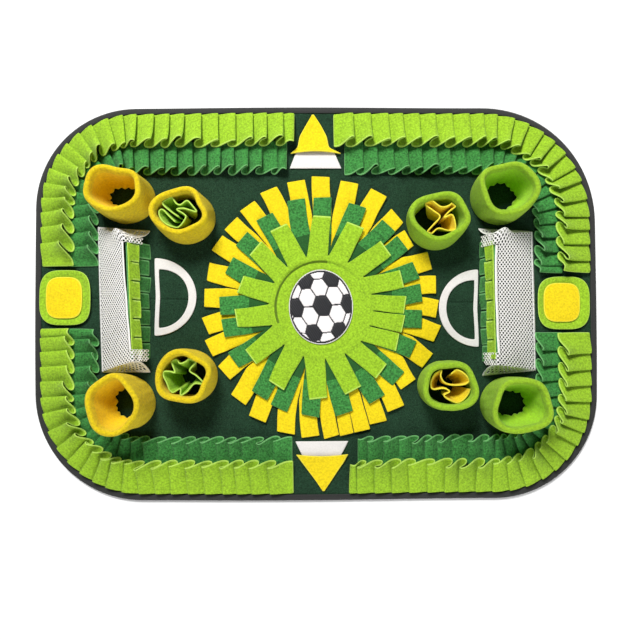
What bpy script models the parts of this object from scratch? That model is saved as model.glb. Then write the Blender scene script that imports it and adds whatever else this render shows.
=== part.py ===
"""Snuffle mat: a felt mat with pleated fleece ruffles, cups, two small goals and a slit-strip flower.

All sizes are in millimetres and are turned into metres when a mesh is made. X runs along the long
side, Y along the short side and Z up. The origin lies on the surface under the middle of the mat.
"""
import math
import random

import bmesh
import bpy
from mathutils import Vector

MM = 0.001

# Mat
MAT_LENGTH = 698.5
MAT_WIDTH = 489.0
FELT = 3.0            # base thickness
FLEECE = 1.8          # fleece sheet thickness
PLEAT_FLEECE = 1.5    # fleece in the pleated strips
MESH_CLOTH = 1.2      # net thickness
WHITE_FELT = 1.5
SEAT = 0.3            # gap kept between touching pieces
FLOOR = FELT + SEAT   # lowest level of whatever lies on the base

# Edge tape, folded over the rim of the base
TAPE_WIDTH = 7.5
TAPE_SHEET = 1.0
TAPE_TOP = 3.9

# Storage crease across the base
CREASE_LEFT = 8.0
CREASE_RIGHT = -2.0
CREASE_HALF = 4.0
CREASE_DEPTH = 0.7

# Corners: name, side along X, side along Y, radius
CORNERS = {
    "tl": (-1, 1, 125.0),
    "tr": (1, 1, 142.0),
    "bl": (-1, -1, 132.0),
    "br": (1, -1, 128.0),
}
CORNER_STEPS = 8

# Pleated strips
OUTER_ROOT = 9.0        # inset of the outer strip's sewn edge
OUTER_FREE = 48.0       # inset of its free edge
OUTER_PITCH = 20.0
OUTER_OVERLAP = 7.0
OUTER_LIFT = 7.6        # the free edge lies on the inner strip's root
INNER_ROOT = 43.5
INNER_PITCH = 17.5
INNER_OVERLAP = 5.5
INNER_FREE = {"top": 80.0, "left": 75.5, "bottom": 76.0, "right": 73.5}
OUTER_STACK = 7.0       # height of the pressed folds at the sewn edge
INNER_STACK = 6.4
OUTER_OPEN = 9.5        # height of the open folds at the free edge
INNER_OPEN = 10.5
CUP_CLEARANCE = 3.0

# Ruffle ends: corner, outer strip x and y, inner strip x and y
RUFFLE_ENDS = (
    ("tl", -26.0, 46.5, -35.5, 46.5),
    ("tr", 21.5, 36.0, 35.0, 36.0),
    ("bl", -29.0, -30.0, -30.5, -30.0),
    ("br", 39.0, -37.0, 50.0, -37.0),
)

# Cups: name, colour, x, y, base radii, rim radii, height, lean along x, dent angle, dent depth
CUPS = (
    ("cup_large_tl", "yellow", -235.4, 131.0, (36.0, 31.0), (35.5, 28.0), 54.0, 0.0, 15, 5.0),
    ("cup_large_tr", "lime", 228.2, 131.0, (36.0, 34.0), (35.5, 33.0), 54.0, 0.0, 100, 5.0),
    ("cup_large_bl", "yellow", -231.7, -122.4, (32.0, 33.0), (31.0, 37.0), 55.0, -4.0, -75, 3.0),
    ("cup_large_br", "lime", 236.9, -125.4, (35.0, 32.5), (36.5, 34.0), 55.0, 3.5, 160, 3.5),
    ("cup_small_tl", "yellow", -160.5, 106.5, (35.5, 32.5), (34.0, 27.5), 46.0, 0.0, 20, 4.0),
    ("cup_small_tr", "lime", 147.5, 99.0, (35.0, 33.5), (36.0, 30.0), 46.0, 0.0, -100, 3.0),
    ("cup_small_bl", "yellow", -156.0, -89.5, (33.5, 32.5), (33.5, 32.0), 46.0, 0.0, -20, 3.5),
    ("cup_small_br", "lime", 158.5, -102.8, (34.0, 31.0), (34.0, 30.5), 46.0, 0.0, -140, 3.5),
)
CUP_STEPS = 18
RIM_ROLL = 7.2         # the doubled cloth is this wide where it folds over
INNER_HEM = 6.0        # the inner layer ends this far above the base

# Crumpled sheet in each small cup: a closed wavy wall. Rows: tip angle, tip radius, valley radius
# of the valley that follows.
INSERTS = {
    "tl": ("lime", ((150, 22.0, 8.0), (60, 17.0, 12.0), (0, 21.0, 7.0), (-80, 19.0, 9.0))),
    "tr": ("yellow", ((122, 20.5, 6.0), (45, 21.0, 14.0), (-35, 21.0, 7.0), (-115, 20.0, 7.0))),
    "bl": ("lime", ((140, 20.0, 7.0), (70, 20.0, 6.0), (-15, 22.0, 12.0), (-95, 20.0, 9.0))),
    "br": ("yellow", ((110, 20.0, 7.0), (25, 22.0, 10.0), (-60, 21.0, 8.0), (-160, 20.0, 8.0))),
}
INSERT_STEPS = 24
INSERT_TOP = 40.0
INSERT_FOOT = 0.72     # the wall draws in to this share of its top outline at its foot

# Flower of slit strips, angles clockwise from the top of the mat
FLOWER_X = 5.7
FLOWER_Y = -5.0
STRIP_WIDTH = 22.6
SLIT = 1.2
# Layers: name, colour, level, slit root radius, mean reach, reach added at top and bottom,
# radius where the strips start to lift, tip angles
FLOWER_LAYERS = (
    ("flower_yellow", "yellow", 0, 118.0, 154.0, 8.0, 142.0,
     (0, 13, 27, 40, 52, 67, 79, 91, 103, 117, 132, 144, 154, 162, 169, 175,
      185, 196, 210, 222, 236, 250, 261, 275, 288, 302, 313, 324, 336, 349)),
    ("flower_green", "green", 1, 83.0, 130.5, 6.0, 115.0,
     (1, 20, 40, 52, 69, 82, 97, 115, 133, 149, 168, 186, 203, 215, 239, 258,
      271, 295, 311, 328, 347)),
    ("flower_lime", "lime", 2, 65.0, 108.5, 4.0, 86.0,
     (1, 23, 48, 71, 89, 102, 115, 137, 159, 182, 210, 235, 263, 286, 312, 332)),
)
FLOWER_CORE = 40.0
RIDGE_RADIUS = 55.0     # the gathered ridge around the ball patch
RIDGE_HEIGHT = 2.4
TIP_LIFT = 3.4

# Ball patch
PATCH_RADII = (39.5, 46.0)
PATCH_THICK = 2.0
PATCH_CROWN = 1.4
PATCH_STEPS = 28

# Goals: name, facing, then (x at the top end, x at the bottom end) of the sewn outer edge, of the
# roof's free edge and of the front line, then y of the top end at the outer edge and at the front,
# and y of the bottom end at both
GOALS = (
    ("left", 1, (-272.0, -266.5), (-227.0, -219.5), (-207.0, -206.5), (96.5, 91.5), (-85.0, -85.0)),
    ("right", -1, (270.5, 273.0), (214.5, 217.0), (202.5, 205.5), (89.0, 93.0), (-85.0, -91.5)),
)
GOAL_HEIGHT = 34.0
GOAL_END = 13.0         # run of the sloping end panels
GOAL_ROWS = 7
GOAL_STATIONS = 12
CURTAIN_DROP = 1.7      # the curtains hang from just below the roof's edge
CURTAIN_BACKING = 4.0   # unslit depth along the sewn edge
# Curtains: colour, strips, offset from the lowest layer, share of the drop, share of the mouth's
# width, bulge of the strips
CURTAINS = (
    ("green", 7, 0.0, 1.0, 0.98, 0.0),
    ("lime", 6, 2.2, 0.52, 0.82, 0.9),
)

# White half-ring lines: name, centre x and y, facing, outer radii, band width, line width
ARC_LINES = (
    ("left", -201.0, 8.8, 1, (52.0, 48.5), 10.0, 5.5),
    ("right", 201.5, -6.8, -1, (49.5, 48.5), 9.5, 5.0),
)
ARC_STEPS = 12
ARC_KINK = 1.6

# Side pads: name, lime centre and half sides, yellow centre and half sides
SIDE_PADS = (
    ("left", (-310.4, 8.1), (31.3, 34.2), (-312.0, 8.0), (22.5, 26.0)),
    ("right", (306.8, -1.0), (32.2, 32.8), (304.6, -0.2), (22.8, 24.5)),
)
PAD_STEPS = 20
PAD_ROUND = 3.4         # superellipse power of the pads' outline
PAD_RIM_LIFT = 3.4

# Pointed flags: name, rows of (y, left x, right x) from the apex to the open edge, arch
FLAGS = (
    ("top", ((235.0, -4.4, -2.6), (222.0, -12.0, 6.0), (207.0, -20.5, 14.0),
             (193.0, -23.0, 16.5), (185.5, -32.0, 32.0)), 3.6),
    ("bottom", ((-233.0, 6.7, 8.5), (-220.0, -2.0, 17.5), (-208.0, -11.0, 25.5),
                (-196.0, -20.0, 34.0), (-187.0, -26.5, 39.0)), 1.6),
)
# White band under each flag: name, y and x range of its outer edge, then of the covered edge
BANDS = (
    ("top", 167.7, (-33.0, 32.0), 190.5, (-24.0, 22.0)),
    ("bottom", -171.0, (-27.3, 39.0), -190.5, (-18.0, 29.0)),
)

COLOURS = {
    "base": (0.012, 0.065, 0.035, 1.0),
    "tape": (0.06, 0.06, 0.065, 1.0),
    "lime": (0.36, 0.68, 0.03, 1.0),
    "green": (0.03, 0.30, 0.06, 1.0),
    "yellow": (0.95, 0.66, 0.01, 1.0),
    "white": (0.84, 0.80, 0.79, 1.0),
    "net": (0.88, 0.85, 0.78, 1.0),
}
CLOTH_ROUGHNESS = 0.95


def lerp(start, end, share):
    """Value a share of the way from start to end."""
    return start + (end - start) * share


def uneven(point):
    """Shift a point of the plan a little, so that the mat's sides aren't dead straight."""
    x, y, z = point
    wide = 1 + 0.0025 * math.cos(2.1 * math.pi * y / MAT_WIDTH + 0.7)
    deep = 1 + 0.0030 * math.cos(3.0 * math.pi * x / MAT_LENGTH + 0.4)
    return Vector((x * wide, y * deep, z))


def material(colour):
    """Principled cloth material, shared by every piece of one colour."""
    name = "cloth_" + colour
    found = bpy.data.materials.get(name)
    if found:
        return found
    made = bpy.data.materials.new(name)
    made.use_nodes = True
    shader = made.node_tree.nodes["Principled BSDF"]
    shader.inputs["Base Color"].default_value = COLOURS[colour]
    shader.inputs["Roughness"].default_value = CLOTH_ROUGHNESS
    shader.inputs["Metallic"].default_value = 0.0
    return made


def add_piece(name, points, faces, colour, smooth_angle=35.0):
    """Make one named object from points in millimetres and outward or mixed faces."""
    mesh = bpy.data.meshes.new(name)
    mesh.from_pydata([uneven(point) * MM for point in points], [], faces)
    shape = bmesh.new()
    shape.from_mesh(mesh)
    bmesh.ops.recalc_face_normals(shape, faces=shape.faces)
    shape.to_mesh(mesh)
    shape.free()
    mesh.materials.append(material(colour))
    mesh.shade_smooth()
    mesh.set_sharp_from_angle(angle=math.radians(smooth_angle))
    piece = bpy.data.objects.new(name, mesh)
    bpy.context.scene.collection.objects.link(piece)
    return piece


def surface_normals(points, faces):
    """Mean normal at each point of an open surface whose faces all turn the same way."""
    normals = [Vector() for _ in points]
    for face in faces:
        corners = [points[index] for index in face]
        turn = Vector()
        for corner, following in zip(corners, corners[1:] + corners[:1]):
            turn += corner.cross(following)
        for index in face:
            normals[index] += turn.normalized()
    return [normal.normalized() for normal in normals]


def thicken(points, faces, thickness, upright=False):
    """Closed solid of one cloth layer around an open middle surface."""
    points = [Vector(point) for point in points]
    if upright:
        normals = [Vector((0, 0, 1))] * len(points)
    else:
        normals = surface_normals(points, faces)
    half = thickness / 2
    count = len(points)
    solid = [point + normal * half for point, normal in zip(points, normals)]
    solid += [point - normal * half for point, normal in zip(points, normals)]
    skin = [list(face) for face in faces]
    skin += [[index + count for index in reversed(face)] for face in faces]
    directed = {(face[i - 1], face[i]) for face in faces for i in range(len(face))}
    for start, end in sorted(directed):
        if (end, start) not in directed:
            skin.append([end, start, start + count, end + count])
    return solid, skin


def grid_faces(rows, columns, closed=False):
    """Quads of a grid whose points are listed row by row."""
    last = columns if closed else columns - 1
    quads = []
    for row in range(rows - 1):
        for column in range(last):
            following = (column + 1) % columns
            quads.append([row * columns + column, row * columns + following,
                          (row + 1) * columns + following, (row + 1) * columns + column])
    return quads


# ---------------------------------------------------------------------------------------------
# Base and tape
# ---------------------------------------------------------------------------------------------

def corner_centre(corner):
    """Centre of a corner's arc."""
    side_x, side_y, radius = CORNERS[corner]
    return side_x * (MAT_LENGTH / 2 - radius), side_y * (MAT_WIDTH / 2 - radius)


def outline(inset):
    """Plan points around the mat, anticlockwise from just above the crease on the right."""
    right = MAT_LENGTH / 2 - inset
    top = MAT_WIDTH / 2 - inset

    def arc(corner, first, last):
        radius = CORNERS[corner][2] - inset
        centre_x, centre_y = corner_centre(corner)
        turns = [math.radians(lerp(first, last, i / CORNER_STEPS)) for i in range(CORNER_STEPS + 1)]
        return [(centre_x + radius * math.cos(turn), centre_y + radius * math.sin(turn))
                for turn in turns]

    ring = [(right, CREASE_RIGHT + CREASE_HALF)]
    ring += arc("tr", 0, 90) + [(0.0, top)] + arc("tl", 90, 180)
    ring += [(-right, CREASE_LEFT + CREASE_HALF), (-right, CREASE_LEFT),
             (-right, CREASE_LEFT - CREASE_HALF)]
    ring += arc("bl", 180, 270) + [(0.0, -top)] + arc("br", 270, 360)
    ring += [(right, CREASE_RIGHT - CREASE_HALF), (right, CREASE_RIGHT)]
    return ring


def make_base():
    """Felt sheet, pressed thinner where the tape holds its rim, with the storage crease."""
    rim_low = TAPE_SHEET + SEAT
    rim_high = FELT - SEAT
    rings = ((1.5, rim_low, rim_high), (TAPE_WIDTH + 0.4, rim_low, rim_high),
             (OUTER_ROOT, 0.0, FELT))
    count = len(outline(0.0))
    left_above = CORNER_STEPS * 2 + 4
    creased = (left_above + 1, count - 1)
    points = []
    for inset, low, high in rings:
        for level in (low, high):
            points += [(x, y, level) for x, y in outline(inset)]
    for index in creased:
        x, y, _ = points[5 * count + index]
        points[5 * count + index] = (x, y, FELT - CREASE_DEPTH)
    faces = []
    around = ((2, 0), (0, 1), (1, 3), (3, 5), (4, 2))
    for first, second in around:
        for i in range(count):
            j = (i + 1) % count
            faces.append([first * count + i, first * count + j,
                          second * count + j, second * count + i])
    faces.append([4 * count + i for i in range(count)])
    upper = 5 * count
    above_right, right_middle, right_below = 0, count - 1, count - 2
    left_middle, left_below = left_above + 1, left_above + 2
    faces.append([upper + i for i in range(above_right, left_above + 1)])
    faces.append([upper + i for i in (left_above, left_middle, right_middle, above_right)])
    faces.append([upper + i for i in (left_middle, left_below, right_below, right_middle)])
    faces.append([upper + i for i in range(left_below, right_below + 1)])
    add_piece("base_mat", points, faces, "base")


def make_tape():
    """Tape folded over the rim of the base: a C-shaped section carried around the outline."""
    fold = TAPE_SHEET + 0.2
    section = ((0.0, 1.0), (0.0, 3.0), (0.9, TAPE_TOP), (TAPE_WIDTH, TAPE_TOP),
               (TAPE_WIDTH, FELT), (fold, FELT), (fold, TAPE_SHEET),
               (TAPE_WIDTH, TAPE_SHEET), (TAPE_WIDTH, 0.0), (0.9, 0.0))
    points = []
    for inset, level in section:
        points += [(x, y, level) for x, y in outline(inset)]
    count = len(outline(0.0))
    faces = grid_faces(len(section), count, closed=True)
    last = (len(section) - 1) * count
    for i in range(count):
        j = (i + 1) % count
        faces.append([last + i, last + j, j, i])
    add_piece("edge_binding", points, faces, "tape")


# ---------------------------------------------------------------------------------------------
# Pleated strips
# ---------------------------------------------------------------------------------------------

def run_length(corner, start_x, end_y, root):
    """Length of a strip's sewn edge from its end on the long side to its end on the short side."""
    centre_x, centre_y = corner_centre(corner)
    arc = (CORNERS[corner][2] - root) * math.pi / 2
    return abs(centre_x - start_x) + arc + abs(centre_y - end_y)


def run_point(corner, start_x, end_y, root, run, inset):
    """Plan point at an inset and a run along the sewn edge, the local shrink of the run, and the
    share of the corner that lies behind. Every strip runs clockwise round the mat, as its folds
    point."""
    side_x, side_y, radius = CORNERS[corner]
    centre_x, centre_y = corner_centre(corner)
    if side_x * side_y < 0:
        run = run_length(corner, start_x, end_y, root) - run
    first = abs(centre_x - start_x)
    arc = (radius - root) * math.pi / 2
    if run < first:
        return start_x + side_x * run, side_y * (MAT_WIDTH / 2 - inset), 1.0, 0.0
    if run < first + arc:
        share = (run - first) / arc
        turn = share * math.pi / 2
        reach = radius - inset
        return (centre_x + side_x * reach * math.sin(turn),
                centre_y + side_y * reach * math.cos(turn), reach / (radius - root), share)
    beyond = run - first - arc
    return side_x * (MAT_LENGTH / 2 - inset), centre_y - side_y * beyond, 1.0, 1.0


def clear_of_cups(corner, start_x, end_y, root, run, inset):
    """Largest inset up to the given one that keeps the free edge clear of the corner's cup."""
    cup = next(row for row in CUPS if row[0] == "cup_large_" + corner)
    _, _, cup_x, cup_y, base_radii, rim_radii = cup[:6]
    lean = cup[7]
    reach_x = max(base_radii[0], rim_radii[0] + abs(lean)) + CUP_CLEARANCE
    reach_y = max(base_radii[1], rim_radii[1]) + CUP_CLEARANCE
    while inset > root + 10:
        x, y, _, _ = run_point(corner, start_x, end_y, root, run, inset)
        if math.hypot((x - cup_x) / reach_x, (y - cup_y) / reach_y) >= 1:
            break
        inset -= 1.0
    return inset


def pleat_stations(length, pitch, overlap, rng):
    """Where each panel starts and ends along the run, as (start, end) rows."""
    count = max(2, round(length / pitch))
    widths = [rng.uniform(0.86, 1.14) for _ in range(count)]
    scale = length / sum(widths)
    starts = [0.0]
    for width in widths:
        starts.append(starts[-1] + width * scale)
    panels = []
    for i in range(count):
        end = starts[i + 1]
        if i < count - 1:
            end += overlap * rng.uniform(0.9, 1.1)
        panels.append((starts[i], end))
    return panels


def make_ruffle(name, corner, start_x, end_y, colour, sizes, seed):
    """Knife-pleated strip: flat stacked folds along the sewn edge, opened folds at the free edge."""
    root, free_inset, pitch, overlap, stack, opened, lift = sizes
    rng = random.Random(seed)
    length = run_length(corner, start_x, end_y, root)
    panels = pleat_stations(length, pitch, overlap, rng)
    heights = [rng.uniform(0.88, 1.12) for _ in panels]
    side_a, side_b, caps = [], [], []
    step = PLEAT_FLEECE
    gap = SEAT

    def place(run, share, edge_shift, low_part, panel):
        """Point on the root edge (share 0) or on the free edge (share 1)."""
        inset = root
        if share:
            near = min(max(run, 0), length)
            _, _, _, turn = run_point(corner, start_x, end_y, root, near, root)
            inset = clear_of_cups(corner, start_x, end_y, root, near, free_inset(turn))
        _, _, shrink, _ = run_point(corner, start_x, end_y, root, run, inset)
        x, y, _, _ = run_point(corner, start_x, end_y, root, run + edge_shift / shrink, inset)
        rise = lerp(stack, opened * heights[panel], share)
        base, offset = low_part
        return x, y, FLOOR + lift * share + base * rise + offset

    def both_edges(run, edge_shift, level, panel):
        return [place(run, share, edge_shift, level, panel) for share in (0, 1)]

    last = len(panels) - 1
    for i, (start, end) in enumerate(panels):
        if i == 0:
            side_a.append(both_edges(start, 0, (0, step), i))
            side_b.append(both_edges(start, 0, (0, 0), i))
        else:
            side_a.append(both_edges(start, step, (0, step + gap / 2), i))
            side_b.append(both_edges(start, 0, (0, 2 * step + gap), i))
            side_b.append(both_edges(start, 0, (0, 0), i))
            caps.append([("a", len(side_a) - 1), ("b", len(side_b) - 2), ("b", len(side_b) - 1)])
        entry_a, entry_b = len(side_a) - 1, len(side_b) - 1
        if i == last:
            side_a.append(both_edges(end, 0, (0.25, step), i))
            side_b.append(both_edges(end, 0, (0.25, 0), i))
            caps.append([("a", entry_a), ("b", entry_b), ("b", entry_b + 1), ("a", entry_a + 1)])
            continue
        side_a.append(both_edges(end, 0, (1, 0), i))
        side_a.append(both_edges(end, 0, (1, -2 * step - gap), i))
        side_b.append(both_edges(end, -step, (1, -step - gap / 2), i))
        fold_b = len(side_b) - 1
        caps.append([("a", entry_a), ("b", entry_b), ("b", fold_b), ("a", entry_a + 1)])
        caps.append([("a", entry_a + 1), ("b", fold_b), ("a", entry_a + 2)])
        caps.append([("a", entry_a + 2), ("b", fold_b), ("b", fold_b + 1), ("a", entry_a + 3)])

    points = [point for pair in side_a + side_b for point in pair]
    shift = {"a": 0, "b": 2 * len(side_a)}
    faces = []
    for cap in caps:
        for edge in (0, 1):
            faces.append([shift[side] + 2 * index + edge for side, index in cap])
    for side, rows in (("a", side_a), ("b", side_b)):
        for index in range(len(rows) - 1):
            first = shift[side] + 2 * index
            faces.append([first, first + 1, first + 3, first + 2])
    for end_a, end_b in ((0, 0), (len(side_a) - 1, len(side_b) - 1)):
        first, second = 2 * end_a, shift["b"] + 2 * end_b
        faces.append([first, first + 1, second + 1, second])
    add_piece(name, points, faces, colour)


def make_ruffles():
    """The outer lime strips and the inner green strips, one of each for every corner."""
    for seed, (corner, outer_x, outer_y, inner_x, inner_y) in enumerate(RUFFLE_ENDS):
        long_side = "top" if CORNERS[corner][1] > 0 else "bottom"
        short_side = "right" if CORNERS[corner][0] > 0 else "left"

        def outer_free(turn):
            return OUTER_FREE

        def inner_free(turn, ends=(INNER_FREE[long_side], INNER_FREE[short_side])):
            return lerp(ends[0], ends[1], turn)

        make_ruffle("ruffle_outer_" + corner, corner, outer_x, outer_y, "lime",
                    (OUTER_ROOT, outer_free, OUTER_PITCH, OUTER_OVERLAP, OUTER_STACK,
                     OUTER_OPEN, OUTER_LIFT), seed)
        make_ruffle("ruffle_inner_" + corner, corner, inner_x, inner_y, "green",
                    (INNER_ROOT, inner_free, INNER_PITCH, INNER_OVERLAP, INNER_STACK,
                     INNER_OPEN, 0.0), seed + 10)


# ---------------------------------------------------------------------------------------------
# Cups and the sheets in them
# ---------------------------------------------------------------------------------------------

def make_cup(row):
    """Double-walled fleece tube: outer wall, rolled rim, inner wall ending above the base."""
    name, colour, centre_x, centre_y, base_radii, rim_radii, height, lean, dent_at, dent = row
    foot = FLOOR
    top = FELT + height
    roll = RIM_ROLL
    # Section: share of the way up for plan size and lean, inward offset, level, share of the dent
    section = (
        (0.0, 0.0, foot, 0.0),
        (0.5, -1.2, foot + 0.45 * height, 1.0),
        (1.0, 0.0, top - 3.6, 0.6),
        (1.0, roll / 2, top, 0.5),
        (1.0, roll, top - 3.8, 0.5),
        (0.1, roll + 1.0, foot + INNER_HEM, 0.0),
        (0.1, roll + 1.0 - FLEECE, foot + INNER_HEM, 0.0),
        (1.0, roll / 2, top - 3.4, 0.5),
        (0.0, FLEECE, foot, 0.0),
    )
    rng = random.Random(name)
    phases = [rng.uniform(0, 2 * math.pi) for _ in range(3)]
    points = []
    for share, inward, level, dented in section:
        reach_x = lerp(base_radii[0], rim_radii[0], share) - inward
        reach_y = lerp(base_radii[1], rim_radii[1], share) - inward
        for i in range(CUP_STEPS):
            turn = 2 * math.pi * i / CUP_STEPS
            near = math.cos(turn - math.radians(dent_at))
            push = dent * dented * max(0.0, near) ** 6
            wave = 0.7 * math.sin(3 * turn + phases[0]) + 0.5 * math.sin(5 * turn + phases[1])
            tilt = 1.2 * share * math.sin(2 * turn + phases[2])
            x = centre_x + lean * share + (reach_x - push + wave * share) * math.cos(turn)
            y = centre_y + (reach_y - push + wave * share) * math.sin(turn)
            points.append((x, y, level + (tilt if share == 1.0 else 0.0)))
    faces = grid_faces(len(section), CUP_STEPS, closed=True)
    last = (len(section) - 1) * CUP_STEPS
    for i in range(CUP_STEPS):
        j = (i + 1) % CUP_STEPS
        faces.append([last + i, last + j, j, i])
    add_piece(name, points, faces, colour, 60.0)


def wavy_radius(turn, lobes):
    """Radius of the crumpled sheet's outline, in degrees, from its tips and valleys."""
    stops = []
    for i, (tip_at, tip, valley) in enumerate(lobes):
        following = lobes[(i + 1) % len(lobes)][0]
        gap = (tip_at - following) % 360
        stops.append((tip_at % 360, tip))
        stops.append(((tip_at - gap / 2) % 360, valley))
    stops.sort()
    for i, (stop_at, radius) in enumerate(stops):
        next_at, next_radius = stops[(i + 1) % len(stops)]
        gap = (next_at - stop_at) % 360
        offset = (turn - stop_at) % 360
        if offset <= gap:
            share = 0.5 - 0.5 * math.cos(math.pi * offset / gap)
            return lerp(radius, next_radius, share)
    return stops[0][1]


def make_insert(corner):
    """Crumpled fleece standing in a small cup: a closed wavy wall drawn in at its foot."""
    colour, lobes = INSERTS[corner]
    cup = next(row for row in CUPS if row[0] == "cup_small_" + corner)
    centre_x, centre_y = cup[2], cup[3]
    levels = ((FLOOR, INSERT_FOOT, 0.0), (lerp(FLOOR, INSERT_TOP, 0.5), 0.86, 0.0),
              (INSERT_TOP, 1.0, 2.0))
    points = []
    for level, scale, sway in levels:
        for i in range(INSERT_STEPS):
            degrees = 360 * i / INSERT_STEPS
            turn = math.radians(degrees)
            radius = wavy_radius(degrees, lobes) * scale
            points.append((centre_x + radius * math.cos(turn), centre_y + radius * math.sin(turn),
                           level + sway * math.sin(3 * turn)))
    faces = grid_faces(len(levels), INSERT_STEPS, closed=True)
    solid, skin = thicken(points, faces, FLEECE)
    lowest = FLOOR
    solid = [(point.x, point.y, max(point.z, lowest)) for point in solid]
    add_piece("cup_insert_" + corner, solid, skin, colour)


# ---------------------------------------------------------------------------------------------
# Flower and ball patch
# ---------------------------------------------------------------------------------------------

def obstacles():
    """Plan ellipses that the flower's strips stay clear of: centre and radii."""
    found = []
    for _, _, x, y, base_radii, rim_radii, *_ in CUPS:
        found.append((x, y, max(base_radii[0], rim_radii[0]) + 2, max(base_radii[1], rim_radii[1]) + 2))
    for _, x, y, _, radii, _, _ in ARC_LINES:
        found.append((x, y, radii[0] + 1, radii[1] + 1))
    return found


def flower_point(turn, radius):
    """Plan point at an angle clockwise from the top, in degrees."""
    return (FLOWER_X + radius * math.sin(math.radians(turn)),
            FLOWER_Y + radius * math.cos(math.radians(turn)))


def strip_tip(root, turn, reach, room_before, room_after):
    """The two tip corners of a strip, shortened until they are clear of the cups and lines."""
    blocked = obstacles()
    while True:
        tip = flower_point(turn, reach)
        along = Vector((tip[0] - root[0], tip[1] - root[1])).normalized()
        across = Vector((along.y, -along.x))
        limit_before = math.radians(room_before) * reach / 2 - 0.4
        limit_after = math.radians(room_after) * reach / 2 - 0.4
        before = min(STRIP_WIDTH / 2, limit_before)
        after = min(STRIP_WIDTH / 2, limit_after)
        corners = (Vector(tip) - across * before, Vector(tip) + across * after)
        if all(math.hypot((corner.x - x) / rx, (corner.y - y) / ry) >= 1
               for corner in corners for x, y, rx, ry in blocked):
            return corners
        reach -= 0.5


def make_flower_layer(row, seed):
    """Fleece disc slit into strips, each strip flat and then lifting towards its tip."""
    name, colour, level, slit_root, reach, stretch, flat_to, tips = row
    rng = random.Random(seed)
    count = len(tips)
    height = FLOOR + FLEECE / 2 + level * (FLEECE + SEAT)
    spacing = 360 / count
    mean = sum(tips) / count - spacing * (count - 1) / 2
    even = [mean + spacing * i for i in range(count)]
    slits = []
    for i in range(count):
        following = tips[(i + 1) % count] + (360 if i == count - 1 else 0)
        even_next = even[i] + spacing
        slits.append(lerp((even[i] + even_next) / 2, (tips[i] + following) / 2, 0.6))
    slits = [slits[-1] - 360] + slits
    rings = [(FLOWER_CORE, 0.0)]
    if level == len(FLOWER_LAYERS) - 1:
        rings += [(RIDGE_RADIUS - 6, 0.0), (RIDGE_RADIUS, RIDGE_HEIGHT)]
    points = [(FLOWER_X, FLOWER_Y, height)]
    faces = []
    for radius, rise in rings:
        for i in range(count):
            points.append((*flower_point(slits[i], radius), height + rise))
    for i in range(count):
        faces.append([0, 1 + (i + 1) % count, 1 + i])
    for ring in range(len(rings) - 1):
        inner, outer = 1 + ring * count, 1 + (ring + 1) * count
        for i in range(count):
            j = (i + 1) % count
            faces.append([inner + i, inner + j, outer + j, outer + i])
    last_ring = 1 + (len(rings) - 1) * count
    half_slit = math.degrees(SLIT / 2 / slit_root)
    first_root = len(points)
    for i in range(count):
        points.append((*flower_point(slits[i] - half_slit, slit_root), height))
        points.append((*flower_point(slits[i] + half_slit, slit_root), height))
    for i in range(count):
        j = (i + 1) % count
        before, after = first_root + 2 * i + 1, first_root + 2 * j
        faces.append([last_ring + i, last_ring + j, after, before])
        faces.append([last_ring + i, before, before - 1])
        room_before = tips[i] - (tips[i - 1] - (360 if i == 0 else 0))
        room_after = tips[j] + (360 if j == 0 else 0) - tips[i]
        root = [(points[before][k] + points[after][k]) / 2 for k in (0, 1)]
        target = reach + stretch * math.cos(math.radians(2 * tips[i])) + rng.uniform(-1.5, 1.5)
        corners = strip_tip(root, tips[i], target, room_before, room_after)
        lift = TIP_LIFT * rng.uniform(0.1, 1.0)
        start_reach = math.hypot(points[before][0] - FLOWER_X, points[before][1] - FLOWER_Y)
        end_reach = math.hypot(corners[0].x - FLOWER_X, corners[0].y - FLOWER_Y)
        share = (flat_to - start_reach) / (end_reach - start_reach)
        share = min(max(share, 0.3), 0.9)
        tip_index = len(points)
        for part, rise in ((share, 0.0), (1.0, lift)):
            for side, corner in ((before, corners[0]), (after, corners[1])):
                points.append((lerp(points[side][0], corner.x, part),
                               lerp(points[side][1], corner.y, part), height + rise))
        faces.append([before, after, tip_index + 1, tip_index])
        faces.append([tip_index, tip_index + 1, tip_index + 3, tip_index + 2])
    solid, skin = thicken(points, faces, FLEECE, upright=True)
    add_piece(name, solid, skin, colour)


def make_ball_patch():
    """Stitched oval patch with a slight crown, on the middle of the top disc."""
    low = FLOOR + 3 * (FLEECE + SEAT)
    rings = ((1.0, 0.0), (0.7, 0.6), (0.35, 0.92))
    points = []
    for side in (0, 1):
        for scale, crown in rings:
            for i in range(PATCH_STEPS):
                turn = 2 * math.pi * i / PATCH_STEPS
                rise = (PATCH_THICK + PATCH_CROWN * crown) * side
                points.append((FLOWER_X + PATCH_RADII[0] * scale * math.cos(turn),
                               FLOWER_Y + PATCH_RADII[1] * scale * math.sin(turn), low + rise))
            if side == 0:
                break
    under = list(range(PATCH_STEPS))
    top = PATCH_STEPS
    faces = [under]
    for i in range(PATCH_STEPS):
        j = (i + 1) % PATCH_STEPS
        faces.append([i, j, top + j, top + i])
    faces += [[index + top for index in face] for face in grid_faces(3, PATCH_STEPS, closed=True)]
    faces.append([top + 2 * PATCH_STEPS + i for i in range(PATCH_STEPS)])
    add_piece("ball_patch", points, faces, "white", 50.0)


# ---------------------------------------------------------------------------------------------
# Goals
# ---------------------------------------------------------------------------------------------

def goal_station(goal, place):
    """Outer, roof and front x and the ends' y at a share of the way up the goal, 0 the bottom."""
    _, _, outer, roof, front, top_y, bottom_y = goal
    outer_x = lerp(outer[1], outer[0], place)
    roof_x = lerp(roof[1], roof[0], place)
    front_x = lerp(front[1], front[0], place)
    return outer_x, roof_x, front_x


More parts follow.
